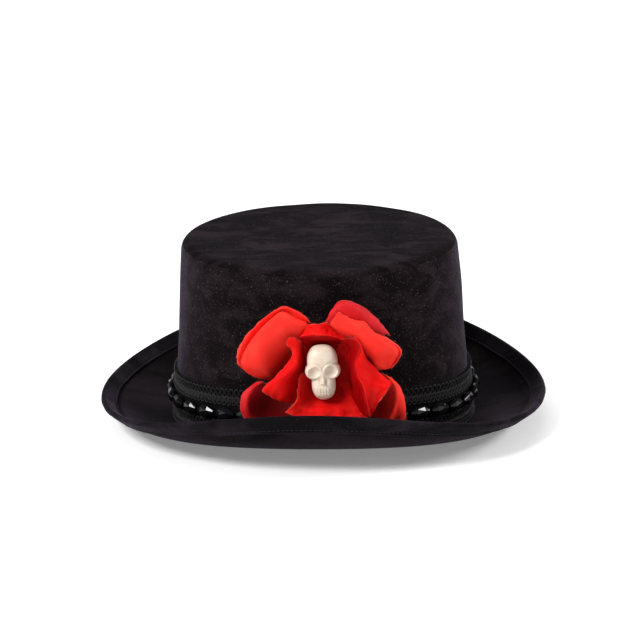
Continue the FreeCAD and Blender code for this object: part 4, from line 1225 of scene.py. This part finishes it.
def skull_height(x, y):
    """Height of the face above its flat back, in millimetres, and how hollow it is."""
    face = merged(oval_bulge(x, y, **CRANIUM), oval_bulge(x, y, **JAW), 0.5)
    hollow = 0 * x
    for side in (-1, 1):
        away = np.hypot(x - side * SOCKET_X, (y - SOCKET_Y) * 1.03)
        rim = oval_bulge(x - side * SOCKET_X, y - SOCKET_Y, **SOCKET_RIM)
        face = merged(face, rim, 0.4)
        above = np.clip((y - SOCKET_Y) / 3, 0, 1)
        face -= BROW_CREASE * hump(away - BROW_REACH, BROW_CREASE) * above
        dish = SOCKET_FLOOR + (SOCKET_EDGE - SOCKET_FLOOR) * (away / SOCKET_REACH) ** 2.4
        dug = np.clip((SOCKET_REACH + 0.35 - away) / 0.7, 0, 1)
        dug = dug * dug * (3 - 2 * dug)
        face = face * (1 - dug) + np.minimum(face, dish) * dug
        hollow += np.clip(1 - away / SOCKET_REACH, 0, 1)
    spine = -0.05 * (y - 2)
    ridge = np.clip((NOSE_TOP - y) / 7.0, 0, 1) * np.clip((y - NOSE_TIP) / 0.9, 0, 1)
    face += NOSE_RISE * ridge * hump(x - spine * 0.3, 0.95 + 0.55 * ridge)
    face += 0.5 * hump(np.hypot(x, y - NOSE_BALL), 1.2)
    for side in (-1, 1):
        nostril = hump(np.hypot((x - side * NOSTRIL_X) / 1.1, (y - NOSTRIL_Y) / 1.7), 1.0)
        face -= NOSTRIL_DEPTH * nostril
        hollow += 0.6 * nostril
    face -= 0.5 * hump(y - LIP_LINE + 0.05 * x * x, 0.4) * hump(x, 3.4)
    row = np.clip((y - TEETH_BOTTOM) / 0.8, 0, 1) * np.clip((TEETH_TOP - y) / 0.8, 0, 1)
    row = row * hump(x / TOOTH_ROW, 1) ** 0.5
    gaps = hump((x + TOOTH_WIDTH / 2) % TOOTH_WIDTH - TOOTH_WIDTH / 2, 0.26)
    bite = hump(y - BITE + 0.02 * x * x, 0.3)
    face += 0.35 * row - row * (0.45 * gaps * (1 - bite) + 0.40 * bite)
    hollow += 0.5 * row * np.maximum(gaps, bite)
    return face, hollow


SKULL_LEAN, SKULL_ASIDE = math.radians(2.2), 1.0
angle = np.linspace(0, 2 * math.pi, SKULL_AROUND, endpoint=False)
probe = np.linspace(0, SKULL_REACH, 700)
inside = skull_height(np.cos(angle)[:, None] * probe, np.sin(angle)[:, None] * probe)[0] > 0
reach = probe[probe.size - 1 - np.argmax(inside[:, ::-1], axis=1)]
share = np.sin(np.linspace(0, math.pi / 2, SKULL_RINGS + 1)[1:])[:, None]
across, upward = reach * np.cos(angle) * share, reach * np.sin(angle) * share
height, hollow = skull_height(across, upward)
height[-1] = 0
top_height, top_hollow = skull_height(np.zeros(1), np.zeros(1))
flat = np.concatenate([np.stack([across, upward, np.maximum(height, 0)], -1).reshape(-1, 3),
                       [[0, 0, top_height[0]], [0, 0, 0]]])
turned = np.stack([flat[:, 0] * math.cos(SKULL_LEAN) - flat[:, 1] * math.sin(SKULL_LEAN) - SKULL_ASIDE,
                   flat[:, 0] * math.sin(SKULL_LEAN) + flat[:, 1] * math.cos(SKULL_LEAN),
                   flat[:, 2] + SKULL_BACK], -1)
grid = np.arange(SKULL_RINGS * SKULL_AROUND).reshape(SKULL_RINGS, SKULL_AROUND)
after = np.roll(grid, -1, axis=1)
face_middle, back_middle = grid.size, grid.size + 1
faces = [(face_middle, a, b) for a, b in zip(grid[0].tolist(), after[0].tolist())]
faces += zip(*(part.ravel().tolist() for part in (grid[:-1], grid[1:], after[1:], after[:-1])))
faces += [(back_middle, b, a) for a, b in zip(grid[-1].tolist(), after[-1].tolist())]
skull = keep("resin_skull", on_flower(turned), faces)
marked(skull, "hollow", np.clip(np.append(hollow.ravel(), [top_hollow[0], 0]), 0, 1))
resin, tree, shader = finish_of("cast_resin", Specular_IOR_Level=0.45, Subsurface_Weight=0.35,
                                Subsurface_Radius=(0.0016, 0.0010, 0.0007), Subsurface_Scale=1.0)
place = own_place(tree)
# Painted shade: the sockets, nostrils and gaps in the teeth are darkened towards brown.
hollow_shade = add(tree, "ShaderNodeAttribute", attribute_name="hollow")
cloud = noise_of(tree, place, 220, 4, 0.6)
cream = blended(tree, ranged(tree, cloud, 0.35, 0.7), (0.80, 0.69, 0.57, 1), (0.73, 0.60, 0.48, 1))
hollow_shading = maths(tree, "MULTIPLY", hollow_shade.outputs["Fac"], 0.5)
wired(tree, shader, Base_Color=blended(tree, hollow_shading, cream, (0.50, 0.36, 0.29, 1)),
      Roughness=ranged(tree, cloud, 0.3, 0.7, 0.36, 0.52))
raised_by(tree, shader, noise_of(tree, place, 900, 3), 0.0001, 0.35)
skull.data.materials.append(resin)
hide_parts("skull")
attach(skull, "root")


# ---- Stem and backing
# The stem is a moulded black plastic flange and peg; the backing is a disc of black felt.

felt, tree, shader = finish_of("backing_felt", Roughness=0.95, Specular_IOR_Level=0.15, Sheen_Weight=0.3)
wool = noise_of(tree, own_place(tree), 1200, 4, 0.7)
wired(tree, shader, Base_Color=blended(tree, wool, (0.006, 0.005, 0.006, 1), (0.020, 0.018, 0.020, 1)))
raised_by(tree, shader, wool, 0.0004)
dress(nodes["flower_backing"], felt)
plastic = mottled("stem_plastic", 400, 2, (0.010, 0.010, 0.010, 1), (0.016, 0.016, 0.016, 1),
                  (0.35, 0.5), Specular_IOR_Level=0.5)
dress(nodes["flower_hub"], plastic)
